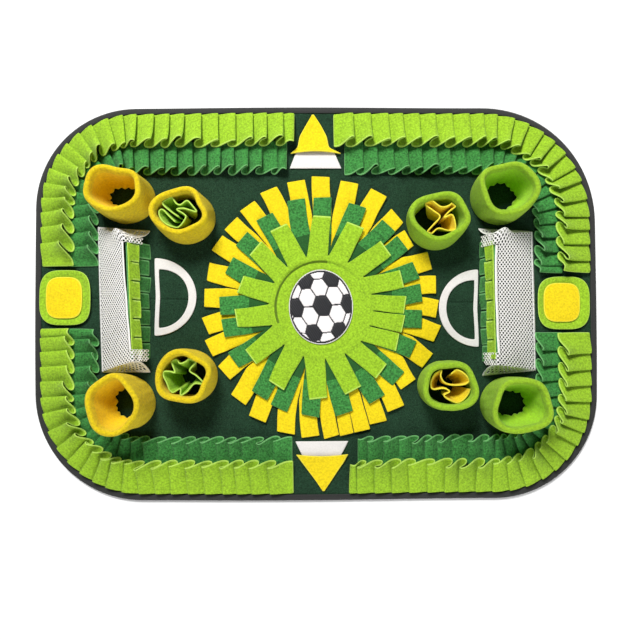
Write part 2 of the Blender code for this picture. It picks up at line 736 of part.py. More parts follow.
def make_goal_net(goal):
    """Mesh cloth: sewn along its outer edge and both ends, with a raised free edge."""
    name, _, _, _, _, top_y, bottom_y = goal
    ground = FLOOR + MESH_CLOTH / 2
    points = []
    for station in range(GOAL_STATIONS):
        at_end = station in (0, GOAL_STATIONS - 1)
        place = min(max((station - 1) / (GOAL_STATIONS - 3), 0.0), 1.0)
        raised = 0.0 if at_end else 1.0
        outer_x, roof_x, front_x = goal_station(goal, place)
        free_x = front_x if at_end else roof_x
        for row in range(GOAL_ROWS):
            across = row / (GOAL_ROWS - 1)
            low_y = lerp(bottom_y[0], bottom_y[1], across)
            high_y = lerp(top_y[0], top_y[1], across)
            slope = GOAL_END * across
            y = lerp(low_y + slope, high_y - slope, place)
            if at_end:
                y = low_y if station == 0 else high_y
            elif across == 0:
                y = lerp(low_y + 3, high_y - 3, place)
            rise = GOAL_HEIGHT * raised * (1.3 * across - 0.3 * across * across)
            ripple = 0.8 * raised * across * math.sin(2.4 * station + 1.7 * across)
            points.append((lerp(outer_x, free_x, across), y, ground + rise + ripple))
    faces = grid_faces(GOAL_STATIONS, GOAL_ROWS)
    solid, skin = thicken(points, faces, MESH_CLOTH)
    solid = [(point.x, point.y, max(point.z, FLOOR)) for point in solid]
    add_piece("goal_net_" + name, solid, skin, "net")


def make_curtain(goal, curtain, seed):
    """Slit fleece curtain hanging across the goal's mouth from just under the roof's edge."""
    name, facing = goal[:2]
    colour, count, offset, length_share, width_share, bulge = curtain
    rng = random.Random(seed)
    top_y = goal[5][1] - GOAL_END - 2
    bottom_y = goal[6][1] + GOAL_END + 2
    pitch = (top_y - bottom_y) * width_share / count
    first_y = (top_y + bottom_y - pitch * count) / 2
    root_z = FLOOR + GOAL_HEIGHT - CURTAIN_DROP
    foot_z = FLOOR + FLEECE / 2

    def curtain_point(y, share, out=0.0):
        """Point down the curtain's slope, a share of the way from the root to the ground."""
        place = (y - goal[6][1]) / (goal[5][1] - goal[6][1])
        _, roof_x, front_x = goal_station(goal, place)
        drop = Vector((front_x - facing * 2.0 - roof_x, 0, foot_z - root_z))
        normal = Vector((-drop.z * facing, 0, abs(drop.x))).normalized()
        return Vector((roof_x, y, root_z)) + drop * share + normal * (offset + out)

    backing = CURTAIN_BACKING / (root_z - foot_z)
    points = [curtain_point(first_y + pitch * i, 0.0) for i in range(count + 1)]
    faces = []
    for i in range(count):
        left = first_y + pitch * i + SLIT / 2
        right = left + pitch - SLIT
        sway = rng.uniform(-0.8, 0.8)
        length = length_share * rng.uniform(0.97, 1.0)
        rows = ((backing, 0.0, 0.0), (lerp(backing, length, 0.55), bulge * rng.uniform(0.3, 1.0), 0.3),
                (length, 0.0, 0.5))
        first = len(points)
        for share, out, swing in rows:
            points.append(curtain_point(left + sway * swing, share, out))
            points.append(curtain_point(right + sway * swing, share, out))
        if i:
            faces.append([i, first, first - 5])
        faces.append([i, i + 1, first + 1, first])
        faces.append([first, first + 1, first + 3, first + 2])
        faces.append([first + 2, first + 3, first + 5, first + 4])
    solid, skin = thicken(points, faces, FLEECE)
    add_piece("goal_fringe_%s_%s" % (colour, name), solid, skin, colour)


# ---------------------------------------------------------------------------------------------
# Flat pieces
# ---------------------------------------------------------------------------------------------

def make_arc_line(row):
    """White felt line: a half ring closed by a thin straight line that kinks at the crease."""
    name, centre_x, centre_y, facing, radii, band, line = row
    outer, inner = [], []
    for i in range(ARC_STEPS + 1):
        turn = math.radians(lerp(-90, 90, i / ARC_STEPS))
        outer.append((centre_x + facing * radii[0] * math.cos(turn),
                      centre_y + radii[1] * math.sin(turn)))
        reach_x = radii[0] - band
        inner.append((centre_x + facing * (line + (reach_x - line) * math.cos(turn)),
                      centre_y + (radii[1] - band) * math.sin(turn)))
    outer.append((centre_x + facing * ARC_KINK, centre_y))
    inner.append((centre_x + facing * (line + ARC_KINK), centre_y))
    level = FLOOR + WHITE_FELT / 2
    points = [(x, y, level) for x, y in outer + inner]
    faces = grid_faces(2, len(outer), closed=True)
    solid, skin = thicken(points, faces, WHITE_FELT, upright=True)
    add_piece("arc_line_" + name, solid, skin, "white")


def rounded_square(centre, half, inset):
    """Plan points of a superellipse."""
    ring = []
    for i in range(PAD_STEPS):
        turn = 2 * math.pi * (i + 0.5) / PAD_STEPS
        cosine, sine = math.cos(turn), math.sin(turn)
        x = math.copysign(abs(cosine) ** (2 / PAD_ROUND), cosine)
        y = math.copysign(abs(sine) ** (2 / PAD_ROUND), sine)
        ring.append((centre[0] + (half[0] - inset) * x, centre[1] + (half[1] - inset) * y))
    return ring


def make_side_pad(row):
    """Lime pad with a lifted rim, and the flat yellow piece sewn on its middle."""
    name, centre, half, top_centre, top_half = row
    level = FLOOR + FLEECE / 2
    rings = ((7.6, 0.0), (3.6, 0.55), (0.0, 1.0))
    points = []
    for inset, raised in rings:
        for i, (x, y) in enumerate(rounded_square(centre, half, inset)):
            wave = 0.8 + 0.2 * math.sin(4 * math.pi * i / PAD_STEPS + 0.6)
            points.append((x, y, level + PAD_RIM_LIFT * raised * wave))
    faces = [list(range(PAD_STEPS))]
    faces += grid_faces(len(rings), PAD_STEPS, closed=True)
    faces[1:] = [list(reversed(face)) for face in faces[1:]]
    solid, skin = thicken(points, faces, FLEECE, upright=True)
    add_piece("side_pad_" + name, solid, skin, "lime")
    top_level = level + FLEECE + SEAT
    ring = [(x, y, top_level) for x, y in rounded_square(top_centre, top_half, 0.0)]
    solid, skin = thicken(ring, [list(range(PAD_STEPS))], FLEECE, upright=True)
    add_piece("side_pad_top_" + name, solid, skin, "yellow")


def make_flag(row):
    """Pointed fleece flag: sewn down at its apex, its straight edge open and arched."""
    name, rows, arch = row
    columns = 7
    points = []
    for i, (y, left, right) in enumerate(rows):
        down = i / (len(rows) - 1)
        for column in range(columns):
            across = column / (columns - 1)
            bow = 2.0 * down ** 4 * math.sin(math.pi * across)
            rise = down * (WHITE_FELT + SEAT) + arch * down ** 2 * math.sin(math.pi * across)
            points.append((lerp(left, right, across), y + math.copysign(bow, y),
                           FLOOR + FLEECE / 2 + rise))
    faces = grid_faces(len(rows), columns)
    solid, skin = thicken(points, faces, FLEECE, upright=True)
    add_piece("flag_yellow_" + name, solid, skin, "yellow")


def make_band(row):
    """White felt band that shows beyond a flag's open edge."""
    name, outer_y, outer_x, covered_y, covered_x = row
    level = FLOOR + WHITE_FELT / 2
    points = [(outer_x[0], outer_y, level), (outer_x[1], outer_y, level),
              (covered_x[1], covered_y, level), (covered_x[0], covered_y, level)]
    solid, skin = thicken(points, [[0, 1, 2, 3]], WHITE_FELT, upright=True)
    add_piece("flag_white_" + name, solid, skin, "white")


def main():
    """Clear the scene and make every piece of the mat."""
    for leftover in list(bpy.data.objects):
        bpy.data.objects.remove(leftover, do_unlink=True)
    make_base()
    make_tape()
    make_ruffles()
    for row in CUPS:
        make_cup(row)
    for corner in INSERTS:
        make_insert(corner)
    for seed, row in enumerate(FLOWER_LAYERS):
        make_flower_layer(row, seed + 40)
    make_ball_patch()
    for index, goal in enumerate(GOALS):
        make_goal_net(goal)
        for number, curtain in enumerate(CURTAINS):
            make_curtain(goal, curtain, 60 + 2 * index + number)
    for row in ARC_LINES:
        make_arc_line(row)
    for row in SIDE_PADS:
        make_side_pad(row)
    for row in FLAGS:
        make_flag(row)
    for row in BANDS:
        make_band(row)


main()
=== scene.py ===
"""Dressed scene of the snuffle mat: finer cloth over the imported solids, lights and camera.

Sizes are in millimetres, in the row's frame, and are turned into metres when a mesh is made.
"""
import math
import random

import bmesh
import bpy
import numpy as np
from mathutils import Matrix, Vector

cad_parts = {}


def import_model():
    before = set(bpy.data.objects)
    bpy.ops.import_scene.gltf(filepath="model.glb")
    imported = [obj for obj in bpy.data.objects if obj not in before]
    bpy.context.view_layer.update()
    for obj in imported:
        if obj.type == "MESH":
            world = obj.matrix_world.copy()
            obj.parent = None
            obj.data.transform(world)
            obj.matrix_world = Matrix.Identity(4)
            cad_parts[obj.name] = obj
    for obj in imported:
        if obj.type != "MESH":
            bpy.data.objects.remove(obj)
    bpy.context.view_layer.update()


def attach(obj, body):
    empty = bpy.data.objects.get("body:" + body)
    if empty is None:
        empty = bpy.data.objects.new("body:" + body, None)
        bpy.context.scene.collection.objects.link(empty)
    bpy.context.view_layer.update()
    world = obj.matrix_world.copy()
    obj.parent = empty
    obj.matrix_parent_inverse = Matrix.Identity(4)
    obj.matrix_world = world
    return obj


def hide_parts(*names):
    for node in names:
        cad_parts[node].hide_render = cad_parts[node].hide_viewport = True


MM = 0.001

# Mat
MAT_LENGTH = 698.5
MAT_WIDTH = 489.0
BASE_COLUMNS = 122
BASE_FINE = (0.8, 1.6, 2.4, 3.6, 6.0, 9.0)      # rows of points beside the crease
BASE_ROWS = 40                  # rows beyond those, on each side
BASE_EDGE = 1.6                 # inset of the felt's own edge, inside the tape
FELT = 3.0
FLEECE = 1.8
PLEAT_FLEECE = 1.5
NET_THREAD = 0.6
WHITE_FELT = 1.5
SEAT = 0.3
FLOOR = FELT + SEAT
TAPE_WIDTH = 7.5
TAPE_SECTION = ((7.5, 0.05), (3.5, 0.0), (1.0, 0.15), (0.15, 0.9), (0.0, 2.0), (0.15, 3.0),
                (0.9, 3.8), (2.6, 4.15), (4.6, 3.85), (6.6, 3.95), (7.5, 3.7), (7.5, 3.0),
                (4.5, 2.95), (1.3, 2.7), (1.3, 1.3), (4.5, 1.05), (7.5, 1.0))
STRAIGHT_STEPS = 22             # parts of each straight side of the tape
STITCH_PITCH = 4.0
STITCH_INSET = 5.6
STITCH_LEVEL = 3.86
STITCH_SIZE = 0.28

# Storage creases: the one across the mat at the left and right ends, and two along its width
CREASE_LEFT = 8.0
CREASE_RIGHT = -2.0
CREASE_DEPTH = 1.3
CREASES_ALONG = ((7.0, 0.35), (305.0, 0.3))     # x and depth
CREASE_BEND = 150.0             # how far from the crease the rows of the base follow its slant

# Corners: side along X, side along Y, radius
CORNERS = {
    "tl": (-1, 1, 125.0),
    "tr": (1, 1, 142.0),
    "bl": (-1, -1, 132.0),
    "br": (1, -1, 128.0),
}

# Pleated strips: sewn edge's inset, cloth width, pitch, overlap, stack and open heights, lift
OUTER = (9.0, 43.5, 20.0, 7.0, 7.0, 15.0, 6.5)
INNER = (43.5, 38.0, 17.5, 5.5, 6.4, 15.0, 0.0)
INNER_FREE = {"top": 80.0, "left": 75.5, "bottom": 76.0, "right": 73.5}
OUTER_FREE = 48.0
CUP_CLEARANCE = 3.0
# Ruffle ends: corner, outer strip x and y, inner strip x and y
RUFFLE_ENDS = (
    ("tl", -26.0, 46.5, -35.5, 46.5),
    ("tr", 21.5, 36.0, 35.0, 36.0),
    ("bl", -29.0, -30.0, -30.5, -30.0),
    ("br", 39.0, -37.0, 50.0, -37.0),
)
PLEAT_ROWS = (0.0, 0.05, 0.2, 0.4, 0.56, 0.7, 0.81, 0.9, 0.965, 1.0)
FREE_OVERLAP = 3.4              # how much wider the folds lap at the free edge
FOLD_SWING = (2.4, 4.4)         # how far the free edge swings in and out round each fold
FOLD_POINTS = 11
INSIDE_FOLD = (6, 7, 8, 9)      # of each fold's points, those whose faces take the painted shade

# Cups: name, colour, x, y, base radii, rim radii, height, lean along x, dent angle, dent depth
CUPS = (
    ("large_tl", "yellow", -235.4, 131.0, (36.0, 31.0), (35.5, 28.0), 54.0, 0.0, 15, 5.0),
    ("large_tr", "lime", 228.2, 131.0, (36.0, 34.0), (35.5, 33.0), 54.0, 0.0, 100, 5.0),
    ("large_bl", "yellow", -231.7, -122.4, (32.0, 33.0), (31.0, 37.0), 55.0, -4.0, -75, 3.0),
    ("large_br", "lime", 236.9, -125.4, (35.0, 32.5), (36.5, 34.0), 55.0, 3.5, 160, 3.5),
    ("small_tl", "yellow", -160.5, 106.5, (35.5, 32.5), (34.0, 28.5), 46.0, 0.0, 35, 1.5),
    ("small_tr", "lime", 147.5, 99.0, (35.0, 33.5), (36.0, 30.0), 46.0, 0.0, -100, 3.0),
    ("small_bl", "yellow", -156.0, -89.5, (33.5, 32.5), (33.5, 32.0), 46.0, 0.0, -20, 3.5),
    ("small_br", "lime", 158.5, -102.8, (34.0, 31.0), (34.0, 30.5), 46.0, 0.0, -140, 3.5),
)
# Upright creases in the outer walls, degrees round from +X
CUP_CREASES = {"large_bl": (-28, -8, 12, 30), "large_br": (158, 176, 194), "large_tr": (85,),
               "small_tl": (-75, -40)}
CUP_STEPS = 72
# Outer wall: share of the way up to the rim, how far it swells, share of the height, dent's share
CUP_WALL = ((0.12, 0.6, 0.08, 0.3), (0.3, 1.0, 0.25, 0.7), (0.5, 1.2, 0.45, 1.0),
            (0.75, 0.9, 0.68, 0.8))
CUP_INSIDE = (0.12, 0.26, 0.40, 0.54, 0.68, 0.80, 0.90, 0.97, 1.0)
RIM_ROLL = 7.2
INNER_HEM = 6.0
CUP_FLARE = 9.0         # how far the inner wall of an open cup leans in towards its hem

# Crumpled sheets in the small cups: colour, closed or open, (x, y) along the top edge
INSERTS = {
    "tl": ("lime", False, (
        (-1, -6), (-9.5, -0.5), (-20, 9), (-18, 17.5), (-11, 19), (-5, 10.5), (1, 8.5), (8.5, 13),
        (15, 7), (20.5, -0.5), (12.5, 1.5), (4, 4), (-4, 3), (3, -1.5), (7, -7), (-1.5, -19),
        (-13.5, -17), (-24, -10), (-26, -1), (-21, 3), (-13, -5), (-5, -12.5))),
    "tr": ("yellow", True, (
        (-14.6, 21.5), (-9.4, 20.3), (2, 12), (12.5, 14), (19.2, 20.7), (21.3, 14.6), (12.5, 7.3),
        (6.4, -0.5), (16.3, 2.7), (19.6, -14.6), (10.5, -16), (0, -13), (-6, -17), (-11.5, -22),
        (-15, -18.8), (-6.3, -8.4), (1.5, 1), (-6.3, 8.4), (-15.7, 15.7))),
    "bl": ("lime", True, (
        (-25, 5.4), (-16, 6.5), (-10, 5), (-13.5, 15), (-15, 19.4), (-8.6, 21), (-4.3, 16),
        (3.2, 18.3), (7.5, 23), (13.5, 23), (14, 17), (6.5, 7.5), (15, 1), (24, -9), (13, -8),
        (5, -17), (-3.2, -22), (-4, -14), (-15, -19.4), (-20.4, -7.5))),
    "br": ("yellow", False, (
        (2, 15), (9, 20.5), (20, 18), (25, 10), (20, 3), (6, 1.5), (-6, 5), (-11, 13), (-10, 20),
        (-17, 16), (-22, 6), (-20, -3), (-7, -2), (0, -6), (-7, -11), (6, -19), (20, -19),
        (25, -9), (25, -3))),
}
INSERT_ROWS = (0.0, 0.1, 0.25, 0.4, 0.55, 0.7, 0.83, 0.93, 0.98, 1.0)
INSERT_ROOM = 9.0               # how far inside the rim's radii the sheets stay
INSERT_TOP = 41.0
INSERT_FOOT = (3.0, 0.30)       # radius at the foot: a fixed part and a share of the top's

# Flower of slit strips, angles clockwise from the top of the mat
FLOWER_X = 5.7
FLOWER_Y = -5.0
STRIP_WIDTH = 22.6
SLIT = 1.2
STRIP_COLUMNS = (0.0, 0.07, 0.3, 0.5, 0.7, 0.93, 1.0)   # points across each strip
# Layers: name, colour, level, slit root radius, mean reach, reach added at top and bottom, tips
FLOWER_LAYERS = (
    ("flower_yellow", "yellow", 0, 118.0, 154.0, 8.0,
     (0, 13, 27, 40, 52, 67, 79, 91, 103, 117, 132, 144, 154, 162, 169, 175,
      185, 196, 210, 222, 236, 250, 261, 275, 288, 302, 313, 324, 336, 349)),
    ("flower_green", "green", 1, 83.0, 130.5, 6.0,
     (1, 20, 40, 52, 69, 82, 97, 115, 133, 149, 168, 186, 203, 215, 239, 258,
      271, 295, 311, 328, 347)),
    ("flower_lime", "lime", 2, 65.0, 108.5, 4.0,
     (1, 23, 48, 71, 89, 102, 115, 137, 159, 182, 210, 235, 263, 286, 312, 332)),
)
# Rings of points inside the slits: where the ridge stands and under it
RIDGE_RINGS = (14.0, 30.0, 41.0, 46.0, 48.5, 51.0, 53.5, 55.2, 56.4, 57.6, 59.4, 62.0)
FLAT_RINGS = (30.0, 60.0)
RIDGE_RADIUS = 58.5
RIDGE_HEIGHT = 4.6
RIDGE_TALLEST = 318.0    # degrees clockwise from the top of the mat
TIP_LIFT = 3.4
STRIP_ROWS = (0.06, 0.16, 0.3, 0.45, 0.6, 0.75, 0.88, 0.965, 1.0)       # points along a strip

# Ball patch
PATCH_RADII = (39.5, 46.0)
PATCH_CUT = 1.0
PATCH_RING = 2.0
PATCH_SEAM = 0.8
PATCH_STEPS = ((15.8, 13.3), (19.7, -10.7))     # from one cell to the next, two ways
PATCH_MIDDLE = (1.7, 1.4)
PATCH_PAD = 0.7                 # padding under the patch
PATCH_CROWN = 1.2               # how much higher its middle is
PATCH_FELT = 0.8
PATCH_OUTLINE = 1.5
PATCH_CELL = (1.15, 0.75)       # level of a seam and the rise of a cell from it
PATCH_CLOTH = 1.0
PATCH_GRID = (124, 108)

# Goals: name, facing, x (top end, bottom end) of the outer edge, the roof's free edge and the
# front line, y of the top end at the outer edge and the front, and the same of the bottom end
GOALS = (
    ("left", 1, (-272.0, -266.5), (-227.0, -219.5), (-207.0, -206.5), (96.5, 91.5), (-85.0, -85.0)),
    ("right", -1, (270.5, 273.0), (214.5, 217.0), (202.5, 205.5), (89.0, 93.0), (-85.0, -91.5)),
)
GOAL_HEIGHT = 34.0
GOAL_END = 13.0
GOAL_ENDS_CLEAR = 2.0           # from the goal's slanted ends to the curtain
NET_PITCH = 4.5
NET_ROW = 2.7
NET_HOLE = 1.24
NET_RING = 12                   # points round each hole
NET_WIDTH = 58.0
NET_LENGTH = 206.0
NET_FLAP = 0.10         # share of the net's length that each end flap takes
NET_DRAPES = {"left": (15.0, 8.0), "right": (15.0, 14.0)}   # flap past the bottom and top panel
NET_DRAPE_WIDTH = 24.0
CURTAIN_DROP = 1.7
CURTAIN_BACKING = 4.0
CURTAIN_ROWS = (0.0, 0.12, 0.3, 0.5, 0.7, 0.86, 0.95, 1.0)
# Curtains: colour, strips, offset, share of the drop, share of the mouth's width, bulge
CURTAINS = (
    ("green", 7, 0.0, 1.12, 0.98, 0.0),
    ("lime", 6, 2.2, 0.50, 0.93, 0.9),
)

# White half-ring lines: name, centre, facing, outer radii, band width, line width
ARC_LINES = (
    ("left", -201.0, 8.8, 1, (52.0, 48.5), 10.0, 5.5),
    ("right", 201.5, -6.8, -1, (49.5, 48.5), 9.5, 5.0),
)
ARC_STEPS = 40
ARC_COLUMNS = (0.0, 0.09, 0.5, 0.91, 1.0)
ARC_LINE_STOPS = (0.97, 0.75, 0.4, 0.12, 0.0, -0.12, -0.4, -0.75, -0.97)
ARC_KINK = 1.6
ARC_TOP_EXTRA = 4.0

# Side pads: name, lime centre and half sides, yellow centre and half sides
SIDE_PADS = (
    ("left", (-310.4, 8.1), (31.3, 34.2), (-312.0, 8.0), (22.5, 26.0)),
    ("right", (306.8, -1.0), (32.2, 32.8), (304.6, -0.2), (22.8, 24.5)),
)
PAD_ROUND = 3.4
PAD_RIM_LIFT = 3.4
PAD_STEPS = 64
# Rings of the lime pad, (inset, share of the rim's lift), and of the yellow piece, (inset,)
PAD_RINGS = ((20.0, 0.0), (10.0, 0.0), (7.6, 0.05), (5.4, 0.45), (3.4, 0.8), (1.4, 0.97),
             (0.6, 1.0), (0.0, 0.96))
PAD_TOP_RINGS = ((17.0,), (9.0,), (5.0,), (3.0,), (1.2,), (0.0,))

# Pointed flags: name, rows of (y, left x, right x) from the apex to the open edge, arch
FLAGS = (
    ("top", ((235.0, -4.4, -2.6), (222.0, -12.0, 6.0), (207.0, -20.5, 14.0),
             (193.0, -23.0, 16.5), (185.5, -32.0, 32.0)), 3.6),
    ("bottom", ((-233.0, 6.7, 8.5), (-220.0, -2.0, 17.5), (-208.0, -11.0, 25.5),
                (-196.0, -20.0, 34.0), (-187.0, -26.5, 39.0)), 1.6),
)
FLAG_CUT = (0.04, 0.03)         # share of a flag's width and length that each cut edge takes
# White bands: name, y and x span of the outer edge, y and x span of the covered edge
BANDS = (
    ("top", 167.7, (-33.0, 32.0), 190.5, (-24.0, 22.0)),
    ("bottom", -171.0, (-27.3, 39.0), -190.5, (-18.0, 29.0)),
)
BAND_ROWS = (0.0, 0.05, 0.35, 0.7, 1.0)
BAND_COLUMNS = (0.0, 0.03, 0.2, 0.4, 0.6, 0.8, 0.97, 1.0)

# Camera: where it stands, its small turns from straight down, its field of view and its shift
CAMERA_AT = (29.3, -66.5, 770.0)
CAMERA_TURNS = (0.29, -0.37, -0.27)
CAMERA_VIEW = 54.97
CAMERA_SHIFT = (-0.038, 0.0525)

# Lights: name, place in metres, energy, size
LIGHTS = (("key", (-0.35, 1.25, 1.50), 49.0, 0.6), ("fill", (0.5, -1.7, 0.9), 26.0, 1.5))
WORLD_LIGHT = 0.14

# Colours, linear: cloth, and its cut edges painted paler as a painted highlight where they catch
# the light
COLOURS = {
    "lime": ((0.340, 0.590, 0.022), (0.500, 0.760, 0.110)),
    "green": ((0.050, 0.262, 0.050), (0.160, 0.460, 0.150)),
    "yellow": ((0.920, 0.690, 0.006), (0.940, 0.780, 0.050)),
    "white": ((0.820, 0.785, 0.760), (0.870, 0.845, 0.815)),
    "net": ((0.960, 0.940, 0.910), (0.960, 0.940, 0.910)),
}
# Cup cloth, linear: outer wall, and the inner wall painted brighter and more saturated as painted
# bounce light inside the cup
CUP_COLOURS = {"yellow": ((0.960, 0.700, 0.004), (1.000, 0.660, 0.002)),
               "lime": ((0.370, 0.640, 0.022), (0.400, 0.720, 0.018))}
FOLD_SHADE = 0.42               # painted shade in folds, creases and gaps, as a share of the cloth's own colour


def lerp(start, end, share):
    """Value a share of the way from start to end."""
    return start + (end - start) * share


def ease(share):
    """Smooth step from 0 to 1."""
    share = min(max(share, 0.0), 1.0)
    return share * share * (3 - 2 * share)


def uneven(points):
    """The same slight unevenness of the plan as the solids have."""
    points = np.array(points, float)
    x, y = points[:, 0].copy(), points[:, 1].copy()
    points[:, 0] = x * (1 + 0.0025 * np.cos(2.1 * math.pi * y / MAT_WIDTH + 0.7))
    points[:, 1] = y * (1 + 0.0030 * np.cos(3.0 * math.pi * x / MAT_LENGTH + 0.4))
    return points


# Materials

def add_node(tree, kind, **values):
    """Shader node with values set on its named inputs."""
    made = tree.nodes.new(kind)
    for key, value in values.items():
        made.inputs[key.replace("_", " ")].default_value = value
    return made


def shade(colour, factor):
    """Colour scaled and closed with full opacity."""
    return tuple(min(channel * factor, 1.0) for channel in colour) + (1.0,)


def colour_mix(tree, factor, first, second):
    """Colour between two sockets or fixed colours by a factor socket."""
    made = tree.nodes.new("ShaderNodeMix")
    made.data_type = "RGBA"
    tree.links.new(factor, made.inputs["Factor"])
    sockets = [socket for socket in made.inputs if socket.type == "RGBA"]
    for socket, value in zip(sockets, (first, second)):
        if isinstance(value, tuple):
            socket.default_value = value
        else:
            tree.links.new(value, socket)
    return [socket for socket in made.outputs if socket.type == "RGBA"][0]


def ramp(tree, source, low, high):
    """Factor that runs from 0 to 1 while the source runs from low to high."""
    made = tree.nodes.new("ShaderNodeMapRange")
    made.inputs["From Min"].default_value = low
    made.inputs["From Max"].default_value = high
    tree.links.new(source, made.inputs["Value"])
    return made.outputs["Result"]


def start_material(name, roughness, specular):
    """New material, its node tree, its shader and the object's own coordinates."""
    made = bpy.data.materials.new(name)
    made.use_nodes = True
    tree = made.node_tree
    shader = tree.nodes["Principled BSDF"]
    shader.inputs["Roughness"].default_value = roughness
    shader.inputs["Specular IOR Level"].default_value = specular
    return made, tree, shader, tree.nodes.new("ShaderNodeTexCoord").outputs["Object"]


def texture(tree, place, kind, **values):
    """Texture node read at the given coordinates."""
    made = add_node(tree, kind, **values)
    tree.links.new(place, made.inputs["Vector"])
    return made


def wire(tree, shader, colour, height, strength, depth):
    """Colour and relief joined to the shader."""
    tree.links.new(colour, shader.inputs["Base Color"])
    relief = add_node(tree, "ShaderNodeBump", Strength=strength, Distance=depth)
    tree.links.new(height, relief.inputs["Height"])
    tree.links.new(relief.outputs["Normal"], shader.inputs["Normal"])


def cloth_material(name, colour, grain=560.0, contrast=0.22, mottle=0.10, bump=0.6,
                   depth=0.0009, sheen=0.08, specks=None):
    """Napped or felted cloth: fine tufts in colour and relief, and a slow mottle."""
    made, tree, shader, place = start_material(name, 0.95, 0.2)
    shader.inputs["Sheen Weight"].default_value = sheen
    shader.inputs["Sheen Roughness"].default_value = 0.6
    noise = "ShaderNodeTexNoise"
    tufts = texture(tree, place, noise, Scale=grain, Detail=4.0, Roughness=0.65).outputs["Fac"]
    slow = texture(tree, place, noise, Scale=38.0, Detail=3.0, Roughness=0.55).outputs["Fac"]
    fibres = texture(tree, place, noise, Scale=grain * 3.2, Detail=2.0,
                     Roughness=0.6).outputs["Fac"]
    nap = ramp(tree, tufts, 0.32, 0.68)
    low, high = 1 - contrast, 1 + 0.6 * contrast
    base = colour_mix(tree, nap, shade(colour, low), shade(colour, high))
    dark = colour_mix(tree, nap, shade(colour, low - mottle), shade(colour, high - mottle))
    result = colour_mix(tree, ramp(tree, slow, 0.3, 0.7), dark, base)
    if specks:
        result = colour_mix(tree, ramp(tree, fibres, 0.58, 0.72), result, shade(specks, 1.0))
    height = tree.nodes.new("ShaderNodeMath")
    height.operation = "ADD"
    tree.links.new(tufts, height.inputs[0])
    tree.links.new(fibres, height.inputs[1])
    wire(tree, shader, result, height.outputs["Value"], bump, depth)
    return made


def thread_material(name, colour, scale, angle, contrast=0.5, depth=0.0004):
    """Satin stitches or ribbed tape: fine parallel threads at an angle, in colour and relief."""
    made, tree, shader, place = start_material(name, 0.6, 0.3)
    turned = texture(tree, place, "ShaderNodeMapping")
    turned.inputs["Rotation"].default_value = (0.0, 0.0, math.radians(angle))
    wave = texture(tree, turned.outputs["Vector"], "ShaderNodeTexWave", Scale=scale,
                   Distortion=1.6, Detail=2.0, Detail_Scale=1.5).outputs["Fac"]
    fuzz = texture(tree, place, "ShaderNodeTexNoise", Scale=1300.0, Detail=3.0).outputs["Fac"]
    strands = colour_mix(tree, wave, shade(colour, 1 - contrast), shade(colour, 1 + contrast))
    result = colour_mix(tree, ramp(tree, fuzz, 0.35, 0.75), strands, shade(colour, 1.0))
    wire(tree, shader, result, wave, 0.7, depth)
    return made


def make_materials():
    """All materials by name: each cloth colour, its paler cut edge as a painted highlight, a darker
    copy as painted shade and, for cups, a brighter inner wall as painted bounce light.
    """
    made = {}
    for colour, (face, edge) in COLOURS.items():
        fleece = colour in ("lime", "green", "yellow")
        contrast = {"lime": 0.36, "green": 0.62, "yellow": 0.20}.get(colour, 0.06)
        made[colour] = cloth_material("cloth_" + colour, face, grain=430.0 if fleece else 560.0,
                                      contrast=contrast, mottle=0.08 if fleece else 0.04)
        # paler copy for cut edges and rims: a painted highlight
        made[colour + "_edge"] = cloth_material("cut_" + colour, edge, contrast=0.15, mottle=0.05)
        if fleece:
            # darker copy: painted shade for the insides of folds, the ridge's shadow and the gaps
            # at the strips' roots
            deep = tuple(channel * FOLD_SHADE for channel in face)
            made[colour + "_deep"] = cloth_material("fold_" + colour, deep, contrast=0.3)
    for colour, (face, inside) in CUP_COLOURS.items():
        made[colour + "_cup"] = cloth_material("cloth_cup_" + colour, face, grain=340.0,
                                               contrast=0.22, mottle=0.07, bump=1.0, depth=0.0016)
        # brighter, more saturated inner wall: painted bounce light inside the cup
        made[colour + "_in"] = cloth_material("cloth_in_" + colour, inside, grain=340.0,
                                              contrast=0.16, mottle=0.06, bump=0.8, depth=0.0012)
    made["base"] = cloth_material("felt_base", (0.014, 0.046, 0.022), grain=600.0, contrast=0.55,
                                  mottle=0.22, bump=0.35, depth=0.0006, sheen=0.0,
                                  specks=(0.045, 0.115, 0.065))
    made["tape"] = thread_material("woven_tape", (0.034, 0.035, 0.033), 260.0, 0.0, 0.22)
    made["black"] = thread_material("thread_black", (0.024, 0.024, 0.027), 130.0, -32.0, 0.95,
                                    0.0006)
    made["white_thread"] = thread_material("thread_white", (0.86, 0.82, 0.81), 150.0, 40.0, 0.04,
                                           0.0003)
    made["stitch"] = cloth_material("stitch_dark", (0.03, 0.03, 0.033), contrast=0.3, bump=0.2)
    return made


# Mesh helpers

def add_object(name, data):
    """Object of a mesh, lamp or camera in the scene."""
    made = bpy.data.objects.new(name, data)
    bpy.context.scene.collection.objects.link(made)
    return made


